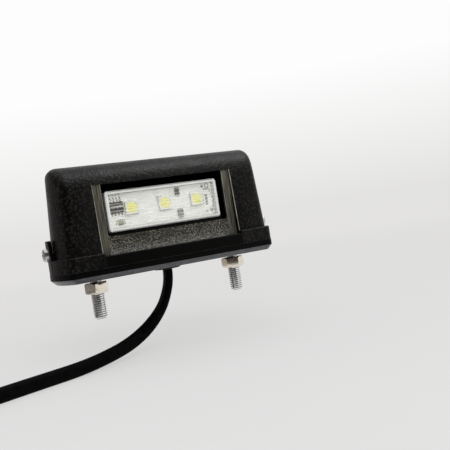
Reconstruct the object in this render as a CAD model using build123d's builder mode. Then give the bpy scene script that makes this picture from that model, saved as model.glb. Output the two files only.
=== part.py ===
from build123d import *
import os
from math import cos, degrees, pi, radians, sqrt, tan

# Number plate lamp: a black moulded cover on a base with two studs, a lit window and a flat lead.
# Millimetres. X runs along the lamp, the window faces -Y and Z rises from the mounting face.
# The origin is the middle of the mounting face, halfway between the studs.

os.makedirs("parts", exist_ok=True)

# Clearances
fit_gap = 0.2
seat_gap = 0.05

# Base: a plate with straight front and rear edges and bowed ends
base_length = 88.4
base_depth = 31.0
end_bow = 5.0
base_thickness = 4.0
base_corner_radius = 2.5
base_edge_chamfer = 1.8
underside_rim = 3.0
underside_relief = 0.8
locating_rim_gap = 0.6
locating_rim_wall = 1.4
sill_height = 4.1
sill_edge_radius = 0.5

# Cover: a hood with a rounded crown above a flange that stands on the base
cover_height = 42.0
wall = 2.0
flange_height = 5.2
flange_setback = 0.1
flange_edge_radius = 0.5
front_step = 2.1
rear_step = 0.6
end_step = 1.6
face_draft = 2.8
end_draft = 3.5
crown_flat = 3.5
hood_edge_radius = 3.5

# Window: a flat-bottomed pocket in the front face, cut through for the light
pocket_length = 54.2
pocket_top = 33.6
pocket_depth = 2.0
panel_thickness = 1.6
panel_recess = 0.3
opening_length = 48.0
opening_foot = 14.6
opening_corner_radius = 1.5

# Light unit: a clear lens and a board on a tray that stands on a shelf of the base
lens_length = 44.9
lens_height = 15.2
lens_foot = 15.9
lens_gap = 1.1
lens_air = 0.5
lens_front_wall = 1.2
lens_side_wall = 1.0
lens_corner_radius = 1.2
flute_count = 10
flute_depth = 0.06
tray_thickness = 2.4
tray_pin_diameter = 1.8
tray_pin_length = 2.6
tray_pin_inset = 4.0
shelf_thickness = 3.0
shelf_wall = 2.0
shelf_overhang = 0.4

# Circuit board and what is soldered to it
board_gap = 0.3
board_thickness = 1.0
led_size = 5.0
led_rise = 0.6
led_end_gap = 4.65
led_height = 1.3
led_rim = 0.5
phosphor_sink = 0.1
chip_length = 4.9
chip_width = 3.9
chip_height = 1.2
chip_rise = 1.4
chip_end_gap = 0.65
chip_led_gap = 0.7
chip_leg_count = 4
chip_leg_pitch = 1.27
chip_leg_width = 0.45
chip_leg_reach = 1.0
chip_leg_thickness = 0.35
resistor_size = (1.7, 3.3, 0.7)
resistor_offset = (-0.9, 4.4)
diode_size = (2.0, 3.2, 1.1)
diode_offset = (-0.7, -3.9)
capacitor_size = (2.0, 1.3, 0.9)
capacitor_offset = (0.8, -4.3)

# Studs, nuts and cover screws
stud_spacing = 57.0
stud_diameter = 5.0
thread_pitch_diameter = 4.48
stud_reach = 15.0
stud_tip_chamfer = 0.7
stud_head_flats = 8.0
stud_head_height = 3.5
stud_web = 2.0
stud_boss_wall = 1.6
nut_flats = 8.0
nut_height = 4.0
nut_drop = 1.4
nut_corner_bevel = 0.55
nut_turns = {"left": 10.0, "right": -25.0}
screw_height = 11.4
tab_width = 7.8
tab_top = 16.4
tab_top_width = 5.6
tab_corner_radius = 1.2
tab_gap = 0.1
screw_diameter = 2.9
screw_length = 9.0
screw_seat_depth = 0.2
screw_head_diameter = 5.0
screw_head_height = 1.9
screw_head_rounding = 1.0
screw_slot_width = 0.8
screw_slot_depth = 0.9
screw_slot_length = 3.0
screw_boss_wall = 2.0
screw_boss_length = 6.0

# Lead: a flat twin cable through a grommet in the middle of the base
lead_width = 5.0
lead_thickness = 3.2
lead_length = 500.0
sheath_rise = 5.0
grommet_neck_diameter = 8.0
grommet_flange_diameter = 10.5
grommet_flange_thickness = 1.2
grommet_lip = 1.2
wire_diameter = 1.5
core_spacing = 2.6
wire_spread = 3.0
wire_slack = 1.6
wire_bend_radius = 1.2
core_diameter = 1.5
core_length = 24.0
lead_arc_share = 0.45
floor_level = -31.0
coil_radius = 29.5
coil_turn_pitch = 3.4
coil_lead_in = 18.0
tie_width = 3.5
tie_thickness = 0.6
tie_place = 265.0
tie_lock_size = 4.5

# Places worked out from the sizes above
base_half_depth = base_depth / 2
end_radius = (base_half_depth**2 + end_bow**2) / (2 * end_bow)
end_centre = base_length / 2 - end_radius
flange_top = base_thickness + flange_height
flange_front = -base_half_depth + flange_setback
flange_rear = base_half_depth - flange_setback
flange_end_radius = end_radius - flange_setback
hood_front = flange_front + front_step
hood_rear = flange_rear - rear_step
hood_end_radius = flange_end_radius - end_step
panel_front = hood_front + pocket_depth
panel_back = panel_front + panel_thickness
lens_front = panel_back + lens_gap
lens_depth = lens_front_wall + lens_air + led_height + board_thickness
inner_length = lens_length - 2 * lens_side_wall
inner_height = lens_height - 2 * lens_side_wall
board_length = inner_length - 2 * board_gap
board_height = inner_height - 2 * board_gap
tray_front = lens_front + lens_depth
tray_back = tray_front + tray_thickness
board_front = tray_front - board_thickness
light_level = lens_foot + lens_height / 2
tray_pin_spacing = lens_length - 2 * tray_pin_inset
chip_middle = -board_length / 2 + chip_end_gap + chip_length / 2
led_first = chip_middle + chip_length / 2 + chip_led_gap + led_size / 2
led_last = board_length / 2 - led_end_gap - led_size / 2
led_pitch = (led_last - led_first) / 2
stud_seat = underside_relief + stud_web
tab_inner = end_centre + hood_end_radius + fit_gap
screw_seat = end_centre + flange_end_radius - screw_seat_depth
screw_boss_radius = screw_diameter / 2 + screw_boss_wall
sheath_top = base_thickness + sheath_rise
grommet_foot = -grommet_lip
stud_places = {"left": -stud_spacing / 2, "right": stud_spacing / 2}
end_signs = {"left": -1, "right": 1}

# The lead's way out of the base, down to the surface below and along it to the coil
lead_on_floor = floor_level + lead_width / 2
lead_route = [
    (0, 0, grommet_foot),
    (0, 0, -5.2),
    (-2.9, -1.0, -12.2),
    (-6.7, -2.3, -17.1),
    (-12.9, -4.5, -21.8),
    (-19.9, -7.0, -25.0),
    (-27.2, -9.5, -26.9),
    (-39.9, -14.0, lead_on_floor),
    (-56.5, -19.6, lead_on_floor),
    (-74.0, -26.1, lead_on_floor),
]


def plan_outline(ends, front, rear, corner):
    """The outline that base and cover share: straight front and rear, bowed ends, rounded corners."""
    with BuildSketch() as outline:
        SlotCenterToCenter(2 * end_centre, 2 * ends)
        with Locations((0, (front + rear) / 2)):
            Rectangle(2 * (end_centre + ends), rear - front, mode=Mode.INTERSECT)
        fillet(outline.vertices(), corner)
    return outline.sketch


def hood_section(inset):
    """The hood's cross-section: two drafted faces and a round crown, taken in by a wall's thickness."""
    crown = cover_height - inset
    lean = tan(radians(face_draft))
    foot_shift = (base_thickness - flange_top) * lean
    crown_shift = (crown - flange_top) * lean
    crown_width = hood_rear - hood_front - 2 * (cover_height - flange_top) * lean
    crown_radius = (crown_width - crown_flat) / 2 / tan(radians(90 - face_draft) / 2)
    with BuildSketch(Plane.YZ) as section:
        with BuildLine():
            Polyline(
                (hood_front + inset + foot_shift, base_thickness),
                (hood_front + inset + crown_shift, crown),
                (hood_rear - inset - crown_shift, crown),
                (hood_rear - inset - foot_shift, base_thickness),
                close=True,
            )
        make_face()
        fillet(section.vertices().group_by(Axis.Y)[-1], crown_radius - inset)
    return section.sketch


def hood_ends(inset):
    """Two slots, at the hood's foot and crown, whose round ends give the bowed and drafted end faces."""
    lean = tan(radians(end_draft))
    with BuildSketch(Plane.XY.offset(base_thickness)) as foot:
        SlotCenterToCenter(2 * end_centre, 2 * (hood_end_radius - inset + flange_height * lean))
    with BuildSketch(Plane.XY.offset(cover_height)) as crown:
        drop = (cover_height - flange_top) * lean
        SlotCenterToCenter(2 * end_centre, 2 * (hood_end_radius - inset - drop))
    return [foot.sketch, crown.sketch]


def end_face_edges(solid):
    """The edges round both end faces of a hood, except those along its foot."""
    by_length = solid.faces().sort_by(Axis.X)
    edges = by_length[0].edges() + by_length[-1].edges()
    return edges.filter_by(lambda edge: edge.center().Z > base_thickness + seat_gap)


def facing_forward(depth):
    """A plane across the lamp at a depth, whose normal points out of the window."""
    return Plane.XZ.offset(-depth)


# Hood: the outer form of the cover above the flange
with BuildPart() as hood:
    extrude(hood_section(0), amount=base_length, both=True)
    loft(hood_ends(0), ruled=True, mode=Mode.INTERSECT)
    fillet(end_face_edges(hood), hood_edge_radius)

# Core: the space inside the cover, which leaves the window panel and the pocket's walls standing
with BuildPart() as cover_core:
    extrude(hood_section(wall), amount=base_length, both=True)
    loft(hood_ends(wall), ruled=True, mode=Mode.INTERSECT)
    fillet(end_face_edges(cover_core), hood_edge_radius - wall)
    with BuildSketch(Plane.XY.offset(base_thickness)):
        add(
            plan_outline(
                hood_end_radius - wall,
                flange_front + wall,
                flange_rear - wall,
                base_corner_radius,
            )
        )
    extrude(amount=flange_height - wall)
    with BuildSketch(facing_forward(panel_back)):
        with Locations((0, base_thickness)):
            Rectangle(
                pocket_length + 2 * wall,
                pocket_top + wall - base_thickness,
                align=(Align.CENTER, Align.MIN),
            )
    extrude(amount=base_depth, mode=Mode.SUBTRACT)

# Cover
with BuildPart() as cover:
    with BuildSketch(Plane.XY.offset(base_thickness)):
        add(
            plan_outline(
                flange_end_radius,
                flange_front,
                flange_rear,
                base_corner_radius - flange_setback,
            )
        )
    extrude(amount=flange_height)
    fillet(cover.edges().group_by(Axis.Z)[-1], flange_edge_radius)
    add(hood.part)
    add(cover_core.part, mode=Mode.SUBTRACT)
    with BuildSketch(facing_forward(panel_front)):
        with Locations((0, base_thickness)):
            Rectangle(
                pocket_length,
                pocket_top - base_thickness,
                align=(Align.CENTER, Align.MIN),
            )
    extrude(amount=base_depth, mode=Mode.SUBTRACT)
    with BuildSketch(facing_forward(panel_back)) as opening:
        with Locations((0, opening_foot)):
            Rectangle(
                opening_length,
                pocket_top - opening_foot,
                align=(Align.CENTER, Align.MIN),
            )
        fillet(opening.vertices().group_by(Axis.Y)[0], opening_corner_radius)
    extrude(amount=panel_thickness, mode=Mode.SUBTRACT)
    # Shallow recess of the panel below the window, between the two shoulders
    with BuildSketch(facing_forward(panel_front + panel_recess)):
        with Locations((0, base_thickness + sill_height / 2)):
            Rectangle(
                opening_length,
                opening_foot + opening_corner_radius - base_thickness - sill_height / 2,
                align=(Align.CENTER, Align.MIN),
            )
    extrude(amount=panel_recess, mode=Mode.SUBTRACT)
    # Notches in the flange's ends for the base's tabs
    for sign in end_signs.values():
        with BuildSketch(Plane.YZ.offset(sign * (tab_inner - fit_gap))):
            with Locations((0, base_thickness)):
                Rectangle(tab_width + 2 * tab_gap, flange_height, align=(Align.CENTER, Align.MIN))
        extrude(amount=sign * base_length, mode=Mode.SUBTRACT)
    # Bosses behind the end faces that take the cover screws
    boss_tip = end_centre + hood_end_radius - wall - screw_boss_length
    for sign in end_signs.values():
        with BuildSketch(Plane.YZ.offset(sign * boss_tip)):
            with Locations((0, screw_height)):
                Circle(screw_boss_radius)
        extrude(amount=sign * (screw_boss_length + wall / 2))
        with BuildSketch(Plane.YZ.offset(sign * boss_tip)):
            with Locations((0, screw_height)):
                Circle(screw_diameter / 2 + seat_gap)
        extrude(amount=sign * (screw_boss_length + 2 * wall), mode=Mode.SUBTRACT)
cover.part.label = "cover"
export_step(cover.part, "parts/cover.step")

# Tabs at the base's ends, flush with the cover's flange, which the cover screws pass through
with BuildPart() as tabs:
    for sign in end_signs.values():
        with BuildSketch(Plane.YZ.offset(sign * tab_inner)) as tab:
            with BuildLine():
                Polyline(
                    (-tab_width / 2, base_thickness),
                    (-tab_width / 2, flange_top),
                    (-tab_top_width / 2, tab_top),
                    (tab_top_width / 2, tab_top),
                    (tab_width / 2, flange_top),
                    (tab_width / 2, base_thickness),
                    close=True,
                )
            make_face()
            fillet(tab.vertices().group_by(Axis.Y)[-1], tab_corner_radius)
            with Locations((0, screw_height)):
                Circle(screw_diameter / 2 + fit_gap, mode=Mode.SUBTRACT)
        extrude(amount=sign * base_length)
    with BuildSketch(Plane.XY.offset(base_thickness)):
        add(
            plan_outline(
                flange_end_radius,
                flange_front,
                flange_rear,
                base_corner_radius - flange_setback,
            )
        )
    extrude(amount=cover_height, mode=Mode.INTERSECT)
    for sign in end_signs.values():
        with BuildSketch(Plane.YZ.offset(sign * screw_seat)):
            with Locations((0, screw_height)):
                Circle(screw_head_diameter / 2 + fit_gap)
        extrude(amount=sign * base_length, mode=Mode.SUBTRACT)

# Base
with BuildPart() as base:
    with BuildSketch():
        add(plan_outline(end_radius, -base_half_depth, base_half_depth, base_corner_radius))
    extrude(amount=base_thickness)
    chamfer(base.edges().group_by(Axis.Z)[0], base_edge_chamfer)
    relief_inset = base_edge_chamfer + underside_rim
    with BuildSketch():
        add(
            plan_outline(
                end_radius - relief_inset,
                relief_inset - base_half_depth,
                base_half_depth - relief_inset,
                base_corner_radius,
            )
        )
    extrude(amount=underside_relief, mode=Mode.SUBTRACT)
    # Rim that keeps the cover's skirt in place, open behind the window and under the screw bosses
    with BuildSketch(Plane.XY.offset(base_thickness)):
        for inset, mode in ((fit_gap, Mode.ADD), (fit_gap + locating_rim_wall, Mode.SUBTRACT)):
            add(
                plan_outline(
                    hood_end_radius - wall - inset,
                    flange_front + wall + inset,
                    flange_rear - wall - inset,
                    base_corner_radius,
                ),
                mode=mode,
            )
        with Locations((0, panel_back + fit_gap)):
            Rectangle(
                pocket_length + 2 * (wall + fit_gap),
                base_depth,
                align=(Align.CENTER, Align.MAX),
                mode=Mode.SUBTRACT,
            )
        Rectangle(base_length, 2 * (screw_boss_radius + fit_gap), mode=Mode.SUBTRACT)
    extrude(amount=flange_height - wall - locating_rim_gap)
    # Sill that fills the gap in the cover's flange below the window
    with BuildSketch(Plane.XY.offset(base_thickness)):
        with Locations((0, flange_front)):
            Rectangle(
                pocket_length - 2 * fit_gap,
                panel_front - fit_gap - flange_front,
                align=(Align.CENTER, Align.MIN),
            )
    extrude(amount=sill_height)
    fillet(
        base.edges()
        .filter_by(Axis.X)
        .filter_by_position(Axis.Y, flange_front - seat_gap, flange_front + seat_gap)
        .group_by(Axis.Z)[-1],
        sill_edge_radius,
    )
    # Shelf that carries the light unit
    with BuildSketch(Plane.XY.offset(base_thickness)):
        with Locations((0, lens_front)):
            Rectangle(lens_length, shelf_wall, align=(Align.CENTER, Align.MIN))
    extrude(amount=lens_foot - base_thickness)
    with BuildSketch(Plane.XY.offset(lens_foot)):
        with Locations((0, lens_front)):
            Rectangle(
                lens_length,
                tray_back + shelf_overhang - lens_front,
                align=(Align.CENTER, Align.MIN),
            )
    extrude(amount=-shelf_thickness)
    with Locations(Location((0, (tray_front + tray_back) / 2, lens_foot))):
        with GridLocations(tray_pin_spacing, 0, 2, 1):
            Hole(tray_pin_diameter / 2 + seat_gap, shelf_thickness)
    add(tabs.part)
    # Bosses that hold the stud heads, and the lead's hole
    with BuildSketch(Plane.XY.offset(base_thickness)):
        with GridLocations(stud_spacing, 0, 2, 1):
            Circle(stud_head_flats / 2 / cos(pi / 6) + stud_boss_wall)
    extrude(amount=stud_seat + stud_head_height - base_thickness)
    with BuildSketch(Plane.XY.offset(stud_seat)):
        with GridLocations(stud_spacing, 0, 2, 1):
            RegularPolygon(stud_head_flats / 2 + seat_gap, 6, major_radius=False)
    extrude(amount=stud_head_height, mode=Mode.SUBTRACT)
    with BuildSketch():
        with GridLocations(stud_spacing, 0, 2, 1):
            Circle(thread_pitch_diameter / 2 + seat_gap)
        Circle(grommet_neck_diameter / 2 + seat_gap)
    extrude(amount=base_thickness, mode=Mode.SUBTRACT)
    with BuildSketch(Plane.XY.offset(base_thickness)):
        Circle(grommet_flange_diameter / 2 + fit_gap)
    extrude(amount=grommet_flange_thickness + fit_gap, mode=Mode.SUBTRACT)
base.part.label = "base"
export_step(base.part, "parts/base.step")

# Studs: hexagon-headed bolts dropped in from inside, turned down to the pitch diameter above the nut's foot
nut_top = -nut_drop
nut_foot = nut_top - nut_height
for side, place in stud_places.items():
    with BuildPart() as stud:
        with BuildSketch(Plane.XY.offset(stud_seat)):
            with Locations((place, 0)):
                RegularPolygon(stud_head_flats / 2, 6, major_radius=False)
        extrude(amount=stud_head_height)
        with BuildSketch(Plane.XY.offset(nut_foot)):
            with Locations((place, 0)):
                Circle(thread_pitch_diameter / 2)
        extrude(amount=stud_seat - nut_foot)
        with BuildSketch(Plane.XY.offset(-stud_reach)):
            with Locations((place, 0)):
                Circle(stud_diameter / 2)
        extrude(amount=stud_reach + nut_foot)
        chamfer(stud.edges().group_by(Axis.Z)[0], stud_tip_chamfer)
    stud.part.label = f"{side}_stud"
    export_step(stud.part, f"parts/{stud.part.label}.step")

# Nuts, run part of the way up the studs
for side, place in stud_places.items():
    with BuildPart() as nut:
        with BuildSketch(Plane.XY.offset(nut_foot)):
            with Locations((place, 0)):
                RegularPolygon(nut_flats / 2, 6, major_radius=False, rotation=nut_turns[side])
        extrude(amount=nut_height)
        corner = nut_flats / 2 / cos(pi / 6)
        with BuildSketch(Plane.XZ) as envelope:
            with BuildLine():
                Polyline(
                    (place, nut_foot),
                    (place + nut_flats / 2, nut_foot),
                    (place + corner, nut_foot + nut_corner_bevel),
                    (place + corner, nut_top - nut_corner_bevel),
                    (place + nut_flats / 2, nut_top),
                    (place, nut_top),
                    close=True,
                )
            make_face()
        revolve(axis=Axis((place, 0, 0), (0, 0, 1)), mode=Mode.INTERSECT)
        with BuildSketch(Plane.XY.offset(nut_foot)):
            with Locations((place, 0)):
                Circle(thread_pitch_diameter / 2 + seat_gap)
        extrude(amount=nut_height, mode=Mode.SUBTRACT)
    nut.part.label = f"{side}_nut"
    export_step(nut.part, f"parts/{nut.part.label}.step")

# Cover screws: pan heads with a cross slot, driven in from the ends
for side, sign in end_signs.items():
    with BuildPart() as screw:
        with BuildSketch(Plane.YZ.offset(sign * screw_seat)):
            with Locations((0, screw_height)):
                Circle(screw_head_diameter / 2)
        extrude(amount=sign * screw_head_height)
        rim = screw.edges().sort_by(Axis.X)[-1 if sign > 0 else 0]
        fillet(rim, screw_head_rounding)
        with BuildSketch(Plane.YZ.offset(sign * (screw_seat + screw_head_height - screw_slot_depth))):
            with Locations((0, screw_height)):
                Rectangle(screw_slot_length, screw_slot_width)
                Rectangle(screw_slot_width, screw_slot_length)
        extrude(amount=sign * screw_slot_depth, mode=Mode.SUBTRACT)
        with BuildSketch(Plane.YZ.offset(sign * screw_seat)):
            with Locations((0, screw_height)):
                Circle(screw_diameter / 2)
        extrude(amount=-sign * screw_length)
    screw.part.label = f"{side}_cover_screw"
    export_step(screw.part, f"parts/{screw.part.label}.step")

# Tray: the light unit's back, with pins that stand in the shelf
with BuildPart() as tray:
    with BuildSketch(facing_forward(tray_back)):
        with Locations((0, light_level)):
            RectangleRounded(lens_length, lens_height, lens_corner_radius)
    extrude(amount=tray_thickness)
    with BuildSketch(Plane.XY.offset(lens_foot + seat_gap)):
        with Locations((0, (tray_front + tray_back) / 2)):
            with GridLocations(tray_pin_spacing, 0, 2, 1):
                Circle(tray_pin_diameter / 2)
    extrude(amount=-tray_pin_length)
    with BuildSketch(facing_forward(tray_back)):
        with Locations((-wire_spread, light_level), (wire_spread, light_level)):
            Circle(wire_diameter / 2 + seat_gap)
    extrude(amount=tray_thickness, mode=Mode.SUBTRACT)
tray.part.label = "light_tray"
export_step(tray.part, "parts/light_tray.step")

# Lens: a clear box open at the back, fluted along its inner face
with BuildPart() as lens:
    with BuildSketch(facing_forward(tray_front)):
        with Locations((0, light_level)):
            RectangleRounded(lens_length, lens_height, lens_corner_radius)
    extrude(amount=lens_depth)
    with BuildSketch(facing_forward(tray_front)):
        with Locations((0, light_level)):
            Rectangle(inner_length, inner_height)
    extrude(amount=lens_depth - lens_front_wall, mode=Mode.SUBTRACT)
    flute_pitch = inner_height / flute_count
    flute_radius = (flute_pitch**2 / 4 + flute_depth**2) / (2 * flute_depth)
    with BuildSketch(Plane.YZ.offset(-inner_length / 2)) as flutes:
        flute_axis = lens_front + lens_front_wall - flute_depth + flute_radius
        with Locations((flute_axis, light_level)):
            with GridLocations(0, flute_pitch, 1, flute_count):
                Circle(flute_radius)
        with Locations((lens_front + lens_front_wall, light_level)):
            Rectangle(
                lens_front_wall,
                inner_height,
                align=(Align.MAX, Align.CENTER),
                mode=Mode.INTERSECT,
            )
    extrude(amount=inner_length, mode=Mode.SUBTRACT)
lens.part.label = "lens"
export_step(lens.part, "parts/lens.step")

# Circuit board
with BuildPart() as board:
    with BuildSketch(facing_forward(tray_front)):
        with Locations((0, light_level)):
            Rectangle(board_length, board_height)
    extrude(amount=board_thickness)
board.part.label = "circuit_board"
export_step(board.part, "parts/circuit_board.step")

# Lamps on the board: a white package with a round well, and the yellow fill in the well
for index, name in enumerate(("left", "middle", "right")):
    spot = (led_first + index * led_pitch, light_level + led_rise)
    well = led_size / 2 - led_rim
    with BuildPart() as package:
        with BuildSketch(facing_forward(board_front)):
            with Locations(spot):
                Rectangle(led_size, led_size)
        extrude(amount=led_height)
        with BuildSketch(facing_forward(board_front - led_height)):
            with Locations(spot):
                Circle(well)
        extrude(amount=-led_height / 2, mode=Mode.SUBTRACT)
    package.part.label = f"{name}_led"
    export_step(package.part, f"parts/{package.part.label}.step")
    with BuildPart() as phosphor:
        with BuildSketch(facing_forward(board_front - led_height / 2)):
            with Locations(spot):
                Circle(well)
        extrude(amount=led_height / 2 - phosphor_sink)
    phosphor.part.label = f"{name}_led_phosphor"
    export_step(phosphor.part, f"parts/{phosphor.part.label}.step")

# Driver chip with a row of legs along each long side
with BuildPart() as chip:
    chip_place = (chip_middle, light_level + chip_rise)
    with BuildSketch(facing_forward(board_front)):
        with Locations(chip_place):
            Rectangle(chip_length, chip_width)
    extrude(amount=chip_height)
    with BuildSketch(facing_forward(board_front)):
        with Locations(chip_place):
            with GridLocations(chip_leg_pitch, 0, chip_leg_count, 1):
                Rectangle(chip_leg_width, chip_width + 2 * chip_leg_reach)
    extrude(amount=chip_leg_thickness)
chip.part.label = "driver_chip"
export_step(chip.part, "parts/driver_chip.step")

# Small parts soldered flat on the board
led_space = led_last - led_pitch / 2
small_parts = {
    "resistor": (led_space, resistor_size, resistor_offset),
    "diode": (led_space, diode_size, diode_offset),
    "capacitor": (chip_middle, capacitor_size, capacitor_offset),
}
for name, (middle, size, shift) in small_parts.items():
    with BuildPart() as component:
        with BuildSketch(facing_forward(board_front)):
            with Locations((middle + shift[0], light_level + shift[1])):
                Rectangle(size[0], size[1])
        extrude(amount=size[2])
    component.part.label = name
    export_step(component.part, f"parts/{name}.step")

# Grommet: a rubber ring with a flange on each side of the base
with BuildPart() as grommet:
    with BuildSketch(Plane.XY.offset(grommet_foot)):
        Circle(grommet_flange_diameter / 2)
    extrude(amount=underside_relief - grommet_foot)
    with BuildSketch(Plane.XY.offset(grommet_foot)):
        Circle(grommet_neck_diameter / 2)
    extrude(amount=base_thickness - grommet_foot)
    with BuildSketch(Plane.XY.offset(base_thickness)):
        Circle(grommet_flange_diameter / 2)
    extrude(amount=grommet_flange_thickness)
    with BuildSketch(Plane.XY.offset(grommet_foot)):
        SlotOverall(
            lead_width + 2 * seat_gap,
            lead_thickness + 2 * seat_gap,
            rotation=90,
        )
    extrude(amount=sheath_top, mode=Mode.SUBTRACT)
grommet.part.label = "grommet"
export_step(grommet.part, "parts/grommet.step")

# End of the lead's sheath inside the lamp
with BuildPart() as sheath:
    with BuildSketch(Plane.XY.offset(grommet_foot)):
        SlotOverall(lead_width, lead_thickness, rotation=90)
    extrude(amount=sheath_top - grommet_foot)
sheath.part.label = "lead_inlet"
export_step(sheath.part, "parts/lead_inlet.step")

# Two wires from the sheath to the back of the board
wire_back = tray_back + wire_diameter + wire_slack
for name, side in (("supply", -1), ("return", 1)):
    with BuildPart() as wire:
        with BuildLine() as wire_path:
            FilletPolyline(
                (0, side * core_spacing / 2, sheath_top),
                (0, side * core_spacing / 2, sheath_top + wire_slack),
                (side * wire_spread, wire_back, lens_foot),
                (side * wire_spread, wire_back, light_level),
                (side * wire_spread, tray_front, light_level),
                radius=wire_bend_radius,
            )
        with BuildSketch(Plane(wire_path.line @ 0, z_dir=wire_path.line % 0)):
            Circle(wire_diameter / 2)
        sweep()
    wire.part.label = f"{name}_wire"
    export_step(wire.part, f"parts/{wire.part.label}.step")

# Lead outside the lamp: straight runs joined by the largest arcs that fit them
corners = [Vector(*point) for point in lead_route]
runs = [after - before for before, after in zip(corners, corners[1:])]
lead_radii = [
    lead_arc_share * min(before.length, after.length) / tan(radians(before.get_angle(after)) / 2)
    for before, after in zip(runs, runs[1:])
]
with BuildPart() as lead:
    with BuildLine() as lead_path:
        FilletPolyline(*lead_route, radius=lead_radii)
    with BuildSketch(Plane(lead_path.line @ 0, z_dir=lead_path.line % 0)):
        Circle(lead_width / 2)
    sweep()
lead.part.label = "lead"
export_step(lead.part, "parts/lead.step")
tube_length = sum(edge.length for edge in lead_path.line.edges())
print("lead radii", [round(radius, 1) for radius in lead_radii])
print("lead tube length", round(tube_length, 2), "volume", round(lead.part.volume, 2))

# Coil of the spare lead: turns that wind clockwise and inwards from the lead's last run
heading = runs[-1].normalized()
inward = Vector(heading.Y, -heading.X, 0)
coil_start = corners[-1] + heading * coil_lead_in
coil_centre = coil_start + inward * coil_radius
wound_length = lead_length - tube_length - coil_lead_in
coil_turns = (coil_radius - sqrt(coil_radius**2 - coil_turn_pitch * wound_length / pi)) / coil_turn_pitch
whole_turns = int(coil_turns)
tail_angle = 360 * (coil_turns - whole_turns)
coil_outer = coil_radius + lead_thickness / 2 + fit_gap
coil_inner = coil_radius - whole_turns * coil_turn_pitch - lead_thickness / 2
tail_inner = coil_inner - lead_thickness / 2
coil_level = floor_level + tie_thickness + fit_gap
coil_plane = Plane((coil_centre.X, coil_centre.Y, coil_level), x_dir=-inward, z_dir=(0, 0, 1))
with BuildPart() as coil:
    with BuildSketch(coil_plane):
        Circle(coil_outer)
        Circle(coil_inner, mode=Mode.SUBTRACT)
        with BuildLine():
            tail_outside = CenterArc((0, 0), (coil_inner + coil_outer) / 2, 0, -tail_angle)
            tail_inside = CenterArc((0, 0), tail_inner, 0, -tail_angle)
            Line(tail_outside @ 0, tail_inside @ 0)
            Line(tail_outside @ 1, tail_inside @ 1)
        make_face()
        with Locations((coil_radius, 0)):
            Rectangle(lead_thickness, coil_lead_in, align=(Align.CENTER, Align.MIN))
    extrude(amount=lead_width)
coil.part.label = "lead_coil"
export_step(coil.part, "parts/lead_coil.step")
print("coil turns", round(coil_turns, 3), "centre", coil_centre)

# Bare ends of the two cores, past the end of the sheath
core_radius = (coil_inner + tail_inner) / 2 - core_diameter / 4
for name, rise in (("supply", -core_spacing / 2), ("return", core_spacing / 2)):
    with BuildPart() as core:
        with BuildLine(coil_plane.offset(lead_width / 2 + rise)) as core_path:
            CenterArc((0, 0), core_radius, -tail_angle, -degrees(core_length / core_radius))
        with BuildSketch(Plane(core_path.line @ 0, z_dir=core_path.line % 0)):
            Circle(core_diameter / 2)
        sweep()
    core.part.label = f"{name}_core"
    export_step(core.part, f"parts/{core.part.label}.step")

# Tie round the coil's turns
radial = coil_plane.rotated((0, 0, -tie_place)).x_dir
tie_middle = coil_plane.origin + radial * (coil_inner + coil_outer) / 2 + Vector(0, 0, lead_width / 2)
lock_seat = tie_middle + Vector(0, 0, lead_width / 2 + fit_gap)
with BuildPart() as tie:
    with BuildSketch(Plane(tie_middle, x_dir=radial, z_dir=radial.cross(Vector(0, 0, 1)))):
        for outset, mode in ((fit_gap + tie_thickness, Mode.ADD), (fit_gap, Mode.SUBTRACT)):
            RectangleRounded(
                coil_outer - coil_inner + 2 * outset,
                lead_width + 2 * outset,
                outset,
                mode=mode,
            )
    extrude(amount=tie_width / 2, both=True)
    with BuildSketch(Plane(lock_seat, x_dir=radial)):
        Rectangle(tie_lock_size, tie_lock_size)
    extrude(amount=tie_lock_size / 2)
tie.part.label = "coil_tie"
export_step(tie.part, "parts/coil_tie.step")
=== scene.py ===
"""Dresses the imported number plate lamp: grained cover, fluted window, threaded studs and flat lead."""

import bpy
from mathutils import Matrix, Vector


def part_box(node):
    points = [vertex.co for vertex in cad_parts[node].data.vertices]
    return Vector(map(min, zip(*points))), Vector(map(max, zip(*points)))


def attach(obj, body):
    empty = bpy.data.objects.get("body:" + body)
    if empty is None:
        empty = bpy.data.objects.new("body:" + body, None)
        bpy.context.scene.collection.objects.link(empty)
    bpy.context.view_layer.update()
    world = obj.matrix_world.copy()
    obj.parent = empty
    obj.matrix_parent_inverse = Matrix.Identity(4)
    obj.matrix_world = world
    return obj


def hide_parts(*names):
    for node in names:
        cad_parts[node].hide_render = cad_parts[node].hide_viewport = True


bl_info = {
    "name": "Number Plate Lamp",
    "version": (1, 0, 0),
    "blender": (4, 5, 0),
    "location": "View3D > Sidebar > Plate Lamp",
    "description": "Builds the lamp's finished pieces around its packed solids",
    "category": "Object",
}

import math

import bmesh
import bpy
from mathutils import Matrix, Quaternion, Vector

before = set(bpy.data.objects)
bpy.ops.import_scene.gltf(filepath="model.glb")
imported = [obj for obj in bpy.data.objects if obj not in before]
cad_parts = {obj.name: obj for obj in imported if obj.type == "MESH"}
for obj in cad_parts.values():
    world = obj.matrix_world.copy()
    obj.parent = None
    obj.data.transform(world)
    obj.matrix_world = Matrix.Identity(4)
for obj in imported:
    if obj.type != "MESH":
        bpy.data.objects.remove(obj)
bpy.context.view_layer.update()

MM = 0.001
BODY = "root"
# Faces marked with this take the edge colour: wear on most pieces, a painted highlight round the window
WEAR_AND_HIGHLIGHT = "edge_wear_and_highlight"
ACROSS = Vector((1, 0, 0))
UP = Vector((0, 0, 1))
FULL_TURN = 2 * math.pi

# Points nearer than this are one point, and faces that turn less than this are one face
SAME_PLACE = 0.002 * MM
FLAT_ANGLE = math.radians(0.4)
# Edges that turn more than this stay sharp in the shading
SHARP_ANGLE = math.radians(21)
# Outer edges that turn more than this many degrees are rounded
ROUNDED_ANGLE = 28.0
# A face with less than this along y looks to the front
FRONT_NORMAL = -0.999
# Most of what a noise gives lies between these
NOISE_RANGE = (0.3, 0.7)
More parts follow.
